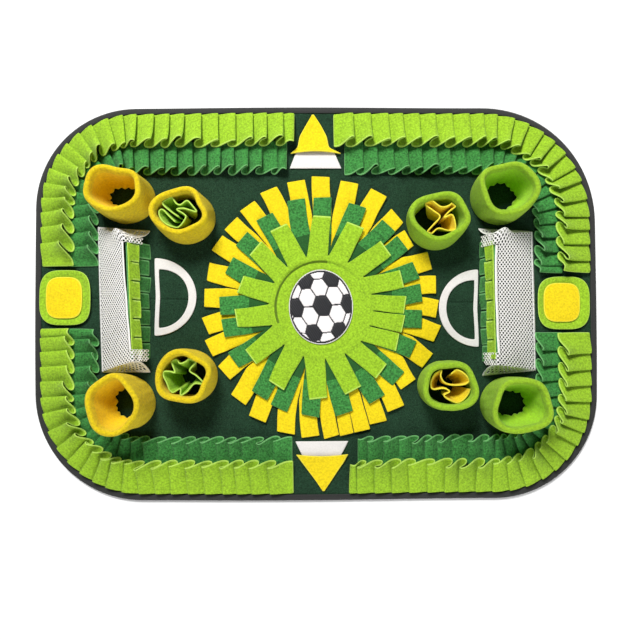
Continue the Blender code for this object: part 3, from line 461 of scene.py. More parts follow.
def make_piece(name, points, faces, materials, tags=None, nodes=(), slot=None, sheet=None,
               thickness=None, smooth=0, weld=0.0, rim=1):
    """Piece from points in millimetres. A thickness makes a closed cloth of an open surface,
    whose rim takes the material that lies rim places after the face's own. sheet, (width, how
    it is held, what it rests on) and, for a cut that is no rectangle, its length, is not used."""
    mesh = bpy.data.meshes.new(name)
    mesh.from_pydata((uneven(points) * MM).tolist(), [], [list(face) for face in faces])
    for material in materials:
        mesh.materials.append(material)
    if tags is not None:
        mesh.polygons.foreach_set("material_index", list(tags))
    shape = bmesh.new()
    shape.from_mesh(mesh)
    if weld:
        bmesh.ops.remove_doubles(shape, verts=shape.verts, dist=weld * MM)
    bmesh.ops.recalc_face_normals(shape, faces=shape.faces)
    shape.to_mesh(mesh)
    shape.free()
    mesh.shade_smooth()
    piece = add_object(name, mesh)
    if thickness:
        solid = piece.modifiers.new("cloth", "SOLIDIFY")
        solid.thickness = thickness * MM
        solid.offset = 0.0
        solid.use_rim = True
        solid.material_offset_rim = rim if len(materials) > 1 else 0
    if smooth:
        rounded = piece.modifiers.new("round", "SUBSURF")
        rounded.levels = smooth
        rounded.render_levels = smooth
    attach(piece, "root")
    if nodes:
        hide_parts(*nodes)
    return piece


def make_fleece(name, node, colour, shape, sheet, materials, parts=("", "_edge"),
                thickness=FLEECE, **more):
    """Fleece piece from its points, faces and tags, in the given parts of its colour."""
    points, faces, tags = shape
    make_piece(name, points, faces, [materials[colour + part] for part in parts], tags=tags,
               nodes=(node,), slot="fleece_" + colour, sheet=sheet, thickness=thickness, smooth=1,
               **more)


def grid_faces(rows, columns, closed=False, first=0):
    """Quads of a grid whose points are listed row by row."""
    last = columns if closed else columns - 1
    quads = []
    for row in range(rows - 1):
        for column in range(last):
            following = (column + 1) % columns
            quads.append((first + row * columns + column, first + row * columns + following,
                          first + (row + 1) * columns + following,
                          first + (row + 1) * columns + column))
    return quads


def tagged_grid(rows, columns, tag, closed=False, first=0):
    """Faces of a grid and a material tag for each, by its row and column."""
    faces = grid_faces(rows, columns, closed, first)
    wide = columns if closed else columns - 1
    return faces, [int(tag(*divmod(index, wide))) for index in range(len(faces))]


def smooth_noise(seed, count=4):
    """Slow closed random wave of an angle, from about -1 to 1."""
    rng = random.Random(seed)
    terms = [(k + 2, rng.uniform(0, 2 * math.pi), rng.uniform(0.5, 1.0) / (1 + 0.5 * k))
             for k in range(count)]
    total = sum(term[2] for term in terms)
    return lambda turn: sum(a * math.sin(k * turn + p) for k, p, a in terms) / total


class Stitches:
    """Many short threads gathered into one joined mesh."""

    SECTION = ((1.0, 0.0), (0.5, 0.8), (-0.5, 0.8), (-1.0, 0.0))

    def __init__(self):
        self.points = []
        self.faces = []

    def add(self, start, end, width=0.35, height=0.35):
        """One thread from start to end that bulges upward in its middle."""
        start, end = Vector(start), Vector(end)
        along = (end - start).normalized()
        across = along.cross(Vector((0, 0, 1))).normalized()
        first = len(self.points)
        for share, size in ((0.0, 0.35), (0.25, 0.9), (0.75, 0.9), (1.0, 0.35)):
            middle = start.lerp(end, share)
            for side, rise in self.SECTION:
                point = middle + across * side * width * size
                self.points.append((point.x, point.y, point.z + rise * height * size))
        self.faces += grid_faces(4, 4, closed=True, first=first)
        self.faces.append((first + 3, first + 2, first + 1, first))
        self.faces.append((first + 12, first + 13, first + 14, first + 15))

    def piece(self, name, material, slot):
        """The joined mesh of all threads."""
        return make_piece(name, self.points, self.faces, [material], slot=slot)


# Base and tape

def corner_centre(corner):
    """Centre of a corner's arc."""
    side_x, side_y, radius = CORNERS[corner]
    return side_x * (MAT_LENGTH / 2 - radius), side_y * (MAT_WIDTH / 2 - radius)


def inset_of(x, y):
    """Distance of a plan point inside the mat's outline."""
    corner = ("t" if y >= 0 else "b") + ("l" if x < 0 else "r")
    radius = CORNERS[corner][2]
    over_x = abs(x) - (MAT_LENGTH / 2 - radius)
    over_y = abs(y) - (MAT_WIDTH / 2 - radius)
    return radius - math.hypot(max(over_x, 0), max(over_y, 0)) - min(max(over_x, over_y), 0.0)


def outline_half(y, inset):
    """Half width of the mat to the left and right at a level of y, at an inset."""
    halves = []
    for side in ("l", "r"):
        radius = CORNERS[("t" if y >= 0 else "b") + side][2] - inset
        over = abs(y) - (MAT_WIDTH / 2 - inset - radius)
        full = MAT_LENGTH / 2 - inset
        if over > 0:
            full -= radius - math.sqrt(max(radius * radius - over * over, 0.0))
        halves.append(full)
    return halves


def crease_level(x):
    """Level of y at which the crease across the mat lies."""
    return lerp(CREASE_LEFT, CREASE_RIGHT, (x + MAT_LENGTH / 2) / MAT_LENGTH)


def crease_depth(x, y):
    """How far the storage folds draw the felt down at a point."""
    depth = CREASE_DEPTH * math.exp(-((y - crease_level(x)) / 1.2) ** 2)
    for place, deepest in CREASES_ALONG:
        depth = max(depth, deepest * math.exp(-((x - place) / 2.6) ** 2))
    return depth


def make_base(materials):
    """Felt sheet with soft storage creases and a slight waviness."""
    columns = BASE_COLUMNS
    fine = list(BASE_FINE)
    far = [lerp(fine[-1], MAT_WIDTH / 2 - BASE_EDGE, math.sin(math.pi / 2 * k / BASE_ROWS))
           for k in range(1, BASE_ROWS + 1)]
    levels = [-y for y in reversed(fine + far)] + [0.0] + fine + far
    rows = len(levels)
    points = []
    for top_side in (True, False):
        for level_y in levels:
            left, right = outline_half(level_y, BASE_EDGE)
            for column in range(columns):
                x = lerp(-left, right, column / (columns - 1))
                y = level_y + crease_level(x) * (1 - ease(abs(level_y) / CREASE_BEND))
                held = 1 - ease((inset_of(x, y) - TAPE_WIDTH + 0.5) / 1.5)
                z = 1.3 * held
                if top_side:
                    wavy = 0.12 * math.sin(x / 19.0 + 0.6 * math.sin(y / 31.0)) * math.sin(y / 23.0)
                    z = FELT - 0.12 + wavy - 0.2 * held - crease_depth(x, y)
                points.append((x, y, z))
    count = rows * columns
    faces = grid_faces(rows, columns)
    faces += [tuple(index + count for index in reversed(face)) for face in faces]
    border = list(range(columns))
    border += [row * columns + columns - 1 for row in range(1, rows)]
    border += [(rows - 1) * columns + column for column in range(columns - 2, -1, -1)]
    border += [row * columns for row in range(rows - 2, 0, -1)]
    for here, following in zip(border, border[1:] + border[:1]):
        faces.append((here, following, following + count, here + count))
    felt = make_piece("felt_mat", points, faces, [materials["base"]], nodes=("base_mat",),
                      slot="felt_base")


def outline_ring(inset, steps=26):
    """Plan points around the mat at an inset, close together on the corners."""
    arcs = []
    for quarter, corner in enumerate(("tr", "tl", "bl", "br")):
        radius = CORNERS[corner][2] - inset
        centre_x, centre_y = corner_centre(corner)
        turns = [math.radians(90 * quarter + 90 * i / steps) for i in range(steps + 1)]
        arcs.append([(centre_x + radius * math.cos(turn), centre_y + radius * math.sin(turn))
                     for turn in turns])
    ring = []
    for arc, following in zip(arcs, arcs[1:] + arcs[:1]):
        here, goal = arc[-1], following[0]
        ring += arc
        for i in range(1, STRAIGHT_STEPS):
            share = i / STRAIGHT_STEPS
            ring.append((lerp(here[0], goal[0], share), lerp(here[1], goal[1], share)))
    return ring


def make_tape(materials):
    """Folded edge tape with rounded folds, and its line of stitches."""
    wave = smooth_noise(3, 9)
    points = []
    count = len(outline_ring(0.0))
    for inset, level in TAPE_SECTION:
        for i, (x, y) in enumerate(outline_ring(inset)):
            turn = 2 * math.pi * i / count
            lift = 0.12 * wave(4 * turn) * (level - 1.5) / 2 if level > 2 else 0.0
            points.append((x, y, level + lift))
    faces = grid_faces(len(TAPE_SECTION), count, closed=True)
    last = (len(TAPE_SECTION) - 1) * count
    for i in range(count):
        j = (i + 1) % count
        faces.append((last + i, last + j, j, i))
    tape = make_piece("tape_rim", points, faces, [materials["tape"]], nodes=("edge_binding",),
                      slot="edge_tape")
    thread = Stitches()
    ring = outline_ring(STITCH_INSET, steps=60)
    path = np.array(ring + ring[:1])
    lengths = np.concatenate([[0], np.cumsum(np.hypot(*np.diff(path, axis=0).T))])
    total = int(lengths[-1] / STITCH_PITCH)
    for i in range(total):
        runs = [lengths[-1] * (i + share) / total for share in (0.0, 0.66)]
        start, end = ((*(np.interp(run, lengths, path[:, k]) for k in (0, 1)), STITCH_LEVEL)
                      for run in runs)
        thread.add(start, end, STITCH_SIZE, STITCH_SIZE)
    thread.piece("tape_stitches", materials["stitch"], "edge_tape")


# Pleated strips

def run_length(corner, start_x, end_y, root):
    """Length of a strip's sewn edge."""
    centre_x, centre_y = corner_centre(corner)
    arc = (CORNERS[corner][2] - root) * math.pi / 2
    return abs(centre_x - start_x) + arc + abs(centre_y - end_y)


def run_point(corner, start_x, end_y, root, run, inset):
    """Plan point at an inset and a run along the sewn edge, the shrink, the share of the corner."""
    side_x, side_y, radius = CORNERS[corner]
    centre_x, centre_y = corner_centre(corner)
    if side_x * side_y < 0:
        run = run_length(corner, start_x, end_y, root) - run
    first = abs(centre_x - start_x)
    arc = (radius - root) * math.pi / 2
    if run < first:
        return start_x + side_x * run, side_y * (MAT_WIDTH / 2 - inset), 1.0, 0.0
    if run < first + arc:
        share = (run - first) / arc
        turn = share * math.pi / 2
        reach = radius - inset
        return (centre_x + side_x * reach * math.sin(turn),
                centre_y + side_y * reach * math.cos(turn), reach / (radius - root), share)
    beyond = run - first - arc
    return side_x * (MAT_LENGTH / 2 - inset), centre_y - side_y * beyond, 1.0, 1.0


def clear_of_cups(corner, at, root, run, inset):
    """Largest inset up to the given one that keeps the free edge clear of the corner's cup."""
    cup = next(row for row in CUPS if row[0] == "large_" + corner)
    _, _, cup_x, cup_y, base_radii, rim_radii, _, lean, _, _ = cup
    reach_x = max(base_radii[0], rim_radii[0] + abs(lean)) + CUP_CLEARANCE
    reach_y = max(base_radii[1], rim_radii[1]) + CUP_CLEARANCE
    while inset > root + 10:
        x, y, _, _ = at(run, inset)
        if math.hypot((x - cup_x) / reach_x, (y - cup_y) / reach_y) >= 1:
            break
        inset -= 1.0
    return inset


def pleat_stations(length, pitch, overlap, rng):
    """Where each panel starts and ends along the run."""
    count = max(2, round(length / pitch))
    widths = [rng.uniform(0.86, 1.14) for _ in range(count)]
    scale = length / sum(widths)
    starts = [0.0]
    for width in widths:
        starts.append(starts[-1] + width * scale)
    panels = []
    for i in range(count):
        end = starts[i + 1]
        if i < count - 1:
            end += overlap * rng.uniform(0.9, 1.1)
        panels.append((starts[i], end))
    return panels


def pleat_line(panels, tops, low, fold_top, fold_low, arches):
    """Middle line of the folded cloth along the run: (run, height, lean) for every control
    point. The lean, from -1 to 1, draws the folds' crests in towards the sewn edge and lets the
    cloth swing out round the fold under them, so the free edge runs in an S."""
    line = []
    last = len(panels) - 1
    for j, (start, end) in enumerate(panels):
        top = tops[j]
        rise = top - low
        above, below, arch = fold_top[j], fold_low[j], arches[j]
        line.append((start + (1.2 * below if j else 0.0), low, 0.95))
        line.append((lerp(start, end, lerp(0.34, 0.26, arch)), low + 0.05 * rise, 0.90))
        line.append((lerp(start, end, 0.50), low + lerp(0.38, 0.62, arch) * rise, 0.50))
        line.append((lerp(start, end, 0.73), low + lerp(0.80, 0.97, arch) * rise, -0.25))
        if j == last:
            line.append((end, low + 0.55 * rise, 0.0))
            break
        following = panels[j + 1][0]
        below = fold_low[j + 1]
        line.append((end - 1.5 * above, top, -0.75))
        line.append((end - 0.3 * above, top - 0.3 * above, -0.90))
        line.append((end, top - above, -1.0))
        line.append((end - 0.7 * above, top - 1.9 * above, -1.1))
        line.append((lerp(end - 0.7 * above, following, 0.6),
                     lerp(top - 1.9 * above, low + 1.9 * below, 0.6), -1.1))
        line.append((following + 0.3 * below, low + 1.85 * below, -0.55))
        line.append((following - 0.5 * below, low + 0.9 * below, 0.4))
    return line


def make_ruffle(name, corner, start_x, end_y, colour, sizes, free, seed, materials):
    """Pleated strip, pressed flat where it is sewn, with open curled folds at its free edge.
    free is the free edge's inset on the long side and on the short side."""
    root, cloth, pitch, overlap, stack, opened, lift = sizes

    def at(run, inset):
        return run_point(corner, start_x, end_y, root, run, inset)

    rng = random.Random(seed)
    length = run_length(corner, start_x, end_y, root)
    panels = pleat_stations(length, pitch, overlap, rng)
    heights = [rng.uniform(0.88, 1.12) for _ in panels]
    loose = random.Random(seed + 500)
    half = PLEAT_FLEECE / 2
    count = len(panels)
    pressed = pleat_line(panels, [FLOOR + stack - half] * count, FLOOR + half,
                         [0.85] * count, [0.8] * count, [0.3] * count)
    side_x, side_y, _ = CORNERS[corner]
    tops = []
    for i, height in enumerate(heights):
        from_end = min(i if side_x * side_y < 0 else count - 1 - i, 2)
        spread = loose.choice((0.62, 0.9, 1.0, 1.1, 1.2)) + 0.14 * (2 - from_end)
        tops.append(FLOOR + opened * height * spread - half)
    room = [top - FLOOR - 2 * half for top in tops]
    spread_out = [(start - (FREE_OVERLAP / 2 if i else 0.0),
                   end + (FREE_OVERLAP / 2 if i < count - 1 else 0.0))
                  for i, (start, end) in enumerate(panels)]
    open_line = pleat_line(spread_out, tops, FLOOR + half,
                           [min(loose.uniform(2.4, 3.4), 0.30 * gap) for gap in room],
                           [min(loose.uniform(1.8, 2.6), 0.22 * gap) for gap in room],
                           [loose.uniform(0.1, 1.0) for _ in panels])
    swing = [loose.uniform(*FOLD_SWING) for _ in range(count + 1)]
    sway = [loose.uniform(-1.5, 1.5) for _ in range(count + 1)]
    low, columns = FLOOR + half, len(pressed)
    reach, before = [0.0] * columns, [z for _, z, _ in pressed]
    previous = 0.0
    points = []
    for share in PLEAT_ROWS:
        opening = 0.25 * share + 0.75 * share ** 2.6
        for i, ((run_a, z_a, _), (run_b, z_b, lean)) in enumerate(zip(pressed, open_line)):
            rise = lerp(z_a, z_b, opening) + lift * share
            step = (share - previous) * cloth
            drop = min(abs(rise - before[i]), 0.93 * step)
            reach[i] += math.sqrt(step * step - drop * drop)
            before[i] = rise
            fold = min((i + FOLD_POINTS // 2) // FOLD_POINTS, count)
            run = lerp(run_a, run_b, share) + sway[fold] * share * share
            run = min(max(run, 0.0), length)
            turn = at(run, root)[3]
            limit = clear_of_cups(corner, at, root, run, lerp(free[0], free[1], turn) + 1.5)
            shrink = min(1.0, (limit - root) / cloth)
            inset = root + (reach[i] + lean * swing[fold] * share ** 3) * shrink
            x, y, _, _ = at(run, inset)
            points.append((x, y, max(rise, low)))
        previous = share

    def tag(row, column):
        # the row at the free edge and the rims take the paler cut-edge colour, a painted highlight
        cut_edge = row == len(PLEAT_ROWS) - 2
        # faces inside each fold take the darker copy: painted shade
        return 2 if cut_edge else column % FOLD_POINTS in INSIDE_FOLD

    shape = (points, *tagged_grid(len(PLEAT_ROWS), columns, tag))
    make_fleece("pleats_" + name, "ruffle_" + name, colour, shape,
                (cloth, "gathered", ["felt_mat"]), materials,
                parts=("", "_deep", "_edge", "_edge"), rim=2, thickness=PLEAT_FLEECE)


def make_ruffles(materials):
    """The outer lime strips and the inner green strips."""
    for seed, (corner, outer_x, outer_y, inner_x, inner_y) in enumerate(RUFFLE_ENDS):
        inner_free = (INNER_FREE["top" if corner[0] == "t" else "bottom"],
                      INNER_FREE["right" if corner[1] == "r" else "left"])
        make_ruffle("outer_" + corner, corner, outer_x, outer_y, "lime", OUTER,
                    (OUTER_FREE, OUTER_FREE), seed, materials)
        make_ruffle("inner_" + corner, corner, inner_x, inner_y, "green", INNER,
                    inner_free, seed + 10, materials)


# Cups and the sheets in them

def make_cup(row, materials):
    """Fleece tube folded double: outer wall, soft rolled rim and wrinkled inner wall."""
    name, colour, centre_x, centre_y, base_radii, rim_radii, height, lean, dent_at, dent = row
    node = "cup_" + name
    rng = random.Random(node)
    phases = [rng.uniform(0, 2 * math.pi) for _ in range(3)]
    folds = smooth_noise(name, 6)
    crush = smooth_noise(name + "in", 7)
    half = FLEECE / 2
    top = FELT + height
    roll = RIM_ROLL / 2 - half
    section = [(0.0, half, FLOOR, 0.0)]
    section += [(up, half - swell, FLOOR + part * height, dented)
                for up, swell, part, dented in CUP_WALL]
    section.append((0.95, half, top - 6.5, 0.7))
    for step in range(5):
        turn = math.pi * step / 4
        section.append((1.0, half + roll - roll * math.cos(turn),
                        top - half - roll + roll * math.sin(turn), 0.55))
    outside = len(section) - 1
    hem = FLOOR + INNER_HEM
    flare = CUP_FLARE if name.startswith("large") else 1.0
    for share in CUP_INSIDE:
        section.append((lerp(1.0, 0.3, share), RIM_ROLL - half + 0.6 + flare * share ** 1.7,
                        lerp(top - 5.5, hem, share), 0.5 * (1 - share)))
    creases = [(rng.uniform(0, 2 * math.pi), rng.uniform(0.10, 0.18)) for _ in range(2)]
    creases += [(math.radians(place), 0.09) for place in CUP_CREASES.get(name, ())]
    points = []
    for index, (share, inward, level, dented) in enumerate(section):
        inner = max(0.0, (index - outside) / (len(section) - 1 - outside))
        reach_x = lerp(base_radii[0], rim_radii[0], share) - inward
        reach_y = lerp(base_radii[1], rim_radii[1], share) - inward
        wall = math.sin(math.pi * min(share, 1.0) ** 0.8) if index <= outside else 0.0
        for i in range(CUP_STEPS):
            turn = 2 * math.pi * i / CUP_STEPS
            near = math.cos(turn - math.radians(dent_at))
            push = dent * dented * max(0.0, near) ** 6
            wave = 0.9 * math.sin(3 * turn + phases[0]) + 0.7 * math.sin(5 * turn + phases[1])
            wave += 1.2 * math.cos(4 * turn + phases[2])
            wrinkle = 0.7 * folds(turn + 0.02 * level) * (0.3 + share)
            for crease_at, breadth in creases:
                away = (turn - crease_at + 0.006 * (level - 25) + math.pi) % (2 * math.pi) - math.pi
                wrinkle -= 1.7 * wall * math.exp(-(away / breadth) ** 2)
            wrinkle -= 3.6 * max(0.0, crush(turn + 0.04 * level)) * inner
            teeth = abs(math.sin(6.5 * turn + phases[1] + 1.2 * crush(turn + 2.0))) - 0.5
            jagged = 3.4 * teeth * max(0.0, inner - 0.72) * 3.6 * (flare > 2)
            tilt = 1.9 * ease((share - 0.5) * 2) * math.sin(2 * turn + phases[2])
            tilt *= 1 - inner
            ragged = 2.2 * crush(3 * turn) * inner ** 3
            out = wave * share + wrinkle - push - jagged
            x = centre_x + lean * share + (reach_x + out) * math.cos(turn)
            y = centre_y + (reach_y + out) * math.sin(turn)
            points.append((x, y, max(level + tilt + ragged, FLOOR)))
    hem_row = len(section) - 2

    def tag(row, _):
        # rows inside the rim take the brighter inner copy, painted bounce light; the hem's rows
        # take the paler cut-edge colour, a painted highlight
        return 1 if row >= hem_row else 2 * (row > outside)

    shape = (points, *tagged_grid(len(section), CUP_STEPS, tag, closed=True))
    around = math.pi * (sum(rim_radii) + sum(base_radii)) / 2
    make_fleece("tube_" + name, node, colour, shape, (around, "folded", ["felt_mat"]), materials,
                parts=("_cup", "_edge", "_in"))


def smooth_path(stops, closed, steps):
    """Points along a smooth curve through the stops."""
    count = len(stops)
    spans = count if closed else count - 1
    found = []
    for k in range(steps if closed else steps + 1):
        run = spans * k / steps
        i = min(int(run), spans - 1)
        share = run - i
        if closed:
            picked = [stops[(i + offset) % count] for offset in (-1, 0, 1, 2)]
        else:
            picked = [stops[min(max(i + offset, 0), count - 1)] for offset in (-1, 0, 1, 2)]
        point = []
        for p0, p1, p2, p3 in zip(*picked):
            point.append(0.5 * (2 * p1 + (p2 - p0) * share
                                + (2 * p0 - 5 * p1 + 4 * p2 - p3) * share ** 2
                                + (3 * p1 - p0 - 3 * p2 + p3) * share ** 3))
        found.append(tuple(point))
    return found


def make_insert(corner, materials):
    """Crumpled fleece standing in a small cup, its cut edges painted paler as a painted highlight.
    """
    colour, closed, stops = INSERTS[corner]
    cup = next(row for row in CUPS if row[0] == "small_" + corner)
    centre_x, centre_y, rim_radii = cup[2], cup[3], cup[5]
    room_x, room_y = rim_radii[0] - INSERT_ROOM, rim_radii[1] - INSERT_ROOM
    path = smooth_path(stops, closed, 5 * len(stops))
    drift = smooth_noise("insert" + corner, 5)
    points = []
    for up in INSERT_ROWS:
        for i, (x, y) in enumerate(path):
            beyond = math.hypot(x / room_x, y / room_y)
            if beyond > 1:
                x, y = x / beyond, y / beyond
            radius = max(math.hypot(x, y), 0.1)
            foot = INSERT_FOOT[0] * min(radius / 6.0, 1.0) + INSERT_FOOT[1] * radius
            scale = lerp(foot / radius, 1.0, up ** 0.75)
            turn = 2 * math.pi * i / len(path)
            wave = 0.6 * math.sin(7 * turn + 5 * up) * math.sin(math.pi * up)
            lift = up * (1.6 * math.sin(3 * turn) + 1.6 * drift(turn + 1.0))
            points.append((centre_x + x * scale + wave, centre_y + y * scale + wave,
                           FLOOR + (INSERT_TOP - FLOOR) * up + lift))
    last_row = len(INSERT_ROWS) - 2
    shape = (points, *tagged_grid(last_row + 2, len(path), lambda row, _: row == last_row,
                                  closed=closed))
    make_fleece("crumple_" + corner, "cup_insert_" + corner, colour, shape,
                (INSERT_TOP, "folded", ["felt_mat"]), materials)


# Flower and ball patch

def obstacles():
    """Plan ellipses that the flower's strips stay clear of: centre and radii."""
    found = []
    for _, _, x, y, base_radii, rim_radii, *_ in CUPS:
        found.append((x, y, max(base_radii[0], rim_radii[0]) + 2,
                      max(base_radii[1], rim_radii[1]) + 2))
    for _, x, y, _, radii, _, _ in ARC_LINES:
        found.append((x, y, radii[0] + 1, radii[1] + 1))
    return found


def flower_point(turn, radius):
    """Plan point at an angle clockwise from the top, in degrees."""
    return (FLOWER_X + radius * math.sin(math.radians(turn)),
            FLOWER_Y + radius * math.cos(math.radians(turn)))


def strip_tip(root, turn, reach, room_before, room_after):
    """The two tip corners of a strip, shortened until they are clear of the cups and lines."""
    blocked = obstacles()
    while True:
        tip = flower_point(turn, reach)
        along = Vector((tip[0] - root[0], tip[1] - root[1])).normalized()
        across = Vector((along.y, -along.x))
        before, after = (min(STRIP_WIDTH / 2, math.radians(room) * reach / 2 - 0.4)
                         for room in (room_before, room_after))
        corners = (Vector(tip) - across * before, Vector(tip) + across * after)
        if all(math.hypot((corner.x - x) / rx, (corner.y - y) / ry) >= 1
               for corner in corners for x, y, rx, ry in blocked):
            return corners
        reach -= 0.5


def ridge(radius, turn, gathers):
    """Height of the gathered fleece around the ball patch: a fold that falls steeply towards the
    patch, tallest at the back left."""
    near = radius - RIDGE_RADIUS + 2.0 * gathers(turn)
    strong = 0.45 + 0.55 * max(0.0, math.cos(turn - math.radians(RIDGE_TALLEST))) ** 0.7
    pucker = 1 + 0.25 * math.sin(17 * turn + 2 * gathers(2 * turn))
    form = math.exp(-(near / (1.9 if near < 0 else 6.5)) ** 2)
    ring = 1.3 * math.exp(-((radius - 50.0) / 3.0) ** 2) * pucker
    return RIDGE_HEIGHT * strong * form * (0.85 + 0.15 * pucker) + ring * (0.5 + 0.5 * strong)


def make_flower_layer(row, seed, materials):
    """Fleece disc slit into strips, each with its own lift, twist and slightly crooked cut."""
    name, colour, level, slit_root, reach, stretch, tips = row
    rng = random.Random(seed)
    detail = random.Random(seed + 900)
    gathers = smooth_noise(77, 5)
    top_layer = level == len(FLOWER_LAYERS) - 1
    count = len(tips)
    height = FLOOR + FLEECE / 2 + level * (FLEECE + SEAT)
    spacing = 360 / count
    mean = sum(tips) / count - spacing * (count - 1) / 2
    even = [mean + spacing * i for i in range(count)]
    slits = []
    for i in range(count):
        following = tips[(i + 1) % count] + (360 if i == count - 1 else 0)
        slits.append(lerp((even[i] + even[i] + spacing) / 2, (tips[i] + following) / 2, 0.6))
    slits = [slits[-1] - 360] + slits
    half_slit = math.degrees(SLIT / 2 / slit_root)
    inner_radii = list(RIDGE_RINGS if top_layer else FLAT_RINGS)
    inner_radii.append(lerp(inner_radii[-1], slit_root, 0.55))
    points, faces, tags = [], [], []
    for i in range(count):
        j = (i + 1) % count
        first_turn, last_turn = slits[i], slits[i + 1]
        roots = [flower_point(first_turn + half_slit, slit_root),
                 flower_point(last_turn - half_slit, slit_root)]
        room_before = tips[i] - (tips[i - 1] - (360 if i == 0 else 0))
        room_after = tips[j] + (360 if j == 0 else 0) - tips[i]
        root = [(roots[0][k] + roots[1][k]) / 2 for k in (0, 1)]
        target = reach + stretch * math.cos(math.radians(2 * tips[i])) + rng.uniform(-1.5, 1.5)
        corners = strip_tip(root, tips[i], target, room_before, room_after)
        lift = TIP_LIFT * rng.uniform(0.1, 1.0)
        twist, bend, skew = (detail.uniform(-most, most) for most in (0.8, 0.7, 1.2))
        arch = detail.uniform(0.0, 0.9)
        first = len(points)
        for radius in inner_radii + [slit_root]:
            apart = half_slit if radius == slit_root else 0.0
            for share in STRIP_COLUMNS:
                turn = lerp(first_turn + apart, last_turn - apart, share)
                rise = ridge(radius, math.radians(turn), gathers) if top_layer else 0.0
                points.append((*flower_point(turn, radius), height + rise))
        for out in STRIP_ROWS:
            for share in STRIP_COLUMNS:
                side = 2 * share - 1
                near = [lerp(roots[0][k], roots[1][k], share) for k in (0, 1)]
                far = [lerp(corners[0][k], corners[1][k], share) for k in (0, 1)]
                along = Vector((far[0] - near[0], far[1] - near[1]))
                sideways = Vector((along.y, -along.x)).normalized()
                part = out + skew * side * out ** 3 / along.length
                shift = bend * math.sin(math.pi * out)
                wobble = 0.25 * math.sin(7.0 * out + i) * abs(side)
                place = Vector(near) + along * part + sideways * (shift + wobble)
                rise = lift * out ** 2.2 + arch * math.sin(math.pi * out)
                rise += twist * side * out ** 1.5 - 0.45 * side * side * out
                points.append((place.x, place.y, height + max(rise, -0.25 if level else 0.0)))
        rows = len(inner_radii) + 1 + len(STRIP_ROWS)
        lit = math.cos(math.radians(tips[i] - RIDGE_TALLEST))

        def tag(row, _):
            radius = inner_radii[min(row, len(inner_radii) - 1)]
            # a band just outside the ridge, on its side towards RIDGE_TALLEST, takes the darker
            # copy: a painted shadow of the ridge
            crease = top_layer and 54.0 < radius < 56.5 and lit > 0.55
            # the green layer's rows near the slit roots take the darker copy: painted shade in the
            # gaps between the strips above
            rooted = level == 1 and row < len(inner_radii) + 2
            # the top layer's last row takes the paler cut-edge colour, a painted highlight
            return 1 if row == rows - 2 and top_layer else 2 * (crease or rooted)

        strip, marks = tagged_grid(rows, len(STRIP_COLUMNS), tag, first=first)
        faces += strip
        tags += marks
    make_fleece(name.replace("flower", "petals"), name, colour, (points, faces, tags),
                (2 * (reach - stretch), "laid", ["felt_mat"], 2 * (reach + stretch)), materials,
                parts=("", "_edge", "_deep"), weld=0.05)


def cell_of(x, y):
    """Whether a point's cell of the ball is a dark one, and how far inside its border it lies."""
    x, y = x - PATCH_MIDDLE[0], y - PATCH_MIDDLE[1]
    swell = 1 + 0.11 * (x * x + y * y) / 1300.0
    x, y = x * swell, y * swell
    (ax, ay), (bx, by) = PATCH_STEPS
    area = ax * by - ay * bx
    first, second = (x * by - y * bx) / area, (ax * y - ay * x) / area
    across, along = (first + second) * math.sqrt(3) / 2, (first - second) / 2
    near = []
    for i in range(round(first) - 1, round(first) + 2):
        for j in range(round(second) - 1, round(second) + 2):
            away_x = across - (i + j) * math.sqrt(3) / 2
            away_y = along - (i - j) / 2
            near.append((away_x * away_x + away_y * away_y, i, j))
    near.sort()
    pitch = math.sqrt(ax * ax + ay * ay)
    return (near[0][1] - near[0][2]) % 3 == 0, (near[1][0] - near[0][0]) / 2 * pitch


def patch_zone(x, y):
    """Height of a point of the patch above its rim's foot, and its material tag."""
    inward = (1 - math.hypot(x / PATCH_RADII[0], y / PATCH_RADII[1])) * PATCH_RADII[0]
    if inward < PATCH_CUT:
        return PATCH_FELT, 0
    if inward < PATCH_CUT + PATCH_RING:
        return PATCH_OUTLINE, 1
    dark, border = cell_of(x, y)
    rise = PATCH_CELL[0] + PATCH_CELL[1] * ease((border - PATCH_SEAM) / 1.6)
    return rise, 1 if dark or border < PATCH_SEAM else 2


def make_ball_patch(materials):
    """Embroidered patch: white felt oval, padded stitched cells, dark seams and outline."""
    low = FLOOR + 3 * (FLEECE + SEAT) + PATCH_PAD
    rows, columns = PATCH_GRID
    points, plan = [], []
    for row in range(rows + 1):
        for column in range(columns + 1):
            x = lerp(-PATCH_RADII[0] - 1, PATCH_RADII[0] + 1, column / columns)
            y = lerp(-PATCH_RADII[1] - 1, PATCH_RADII[1] + 1, row / rows)
            reach = math.hypot(x / PATCH_RADII[0], y / PATCH_RADII[1])
            if reach > 1.0:
                x, y, reach = x / reach, y / reach, 1.0
            crown = PATCH_CROWN * (1 - reach * reach)
            points.append((FLOWER_X + x, FLOWER_Y + y, low + crown + patch_zone(x, y)[0]))
            plan.append((x, y, reach))
    faces, tags = [], []
    for face in grid_faces(rows + 1, columns + 1):
        corners = [plan[index] for index in face]
        if any(corner[2] < 1.0 for corner in corners):
            faces.append(face)
            tags.append(patch_zone(*(sum(corner[k] for corner in corners) / 4
                                     for k in (0, 1)))[1])
    piece = make_piece("stitched_ball", points, faces,
                       [materials["white"], materials["black"], materials["white_thread"]],
                       tags=tags, nodes=("ball_patch",), slot="felt_white", weld=0.02)
    rim = piece.modifiers.new("cloth", "SOLIDIFY")
    rim.thickness = PATCH_CLOTH * MM
    rim.offset = -1.0


# Goals

def goal_station(goal, place):
    """Outer, roof and front x at a share of the way up the goal, 0 the bottom."""
    _, _, outer, roof, front, _, _ = goal
    return (lerp(outer[1], outer[0], place), lerp(roof[1], roof[0], place),
            lerp(front[1], front[0], place))


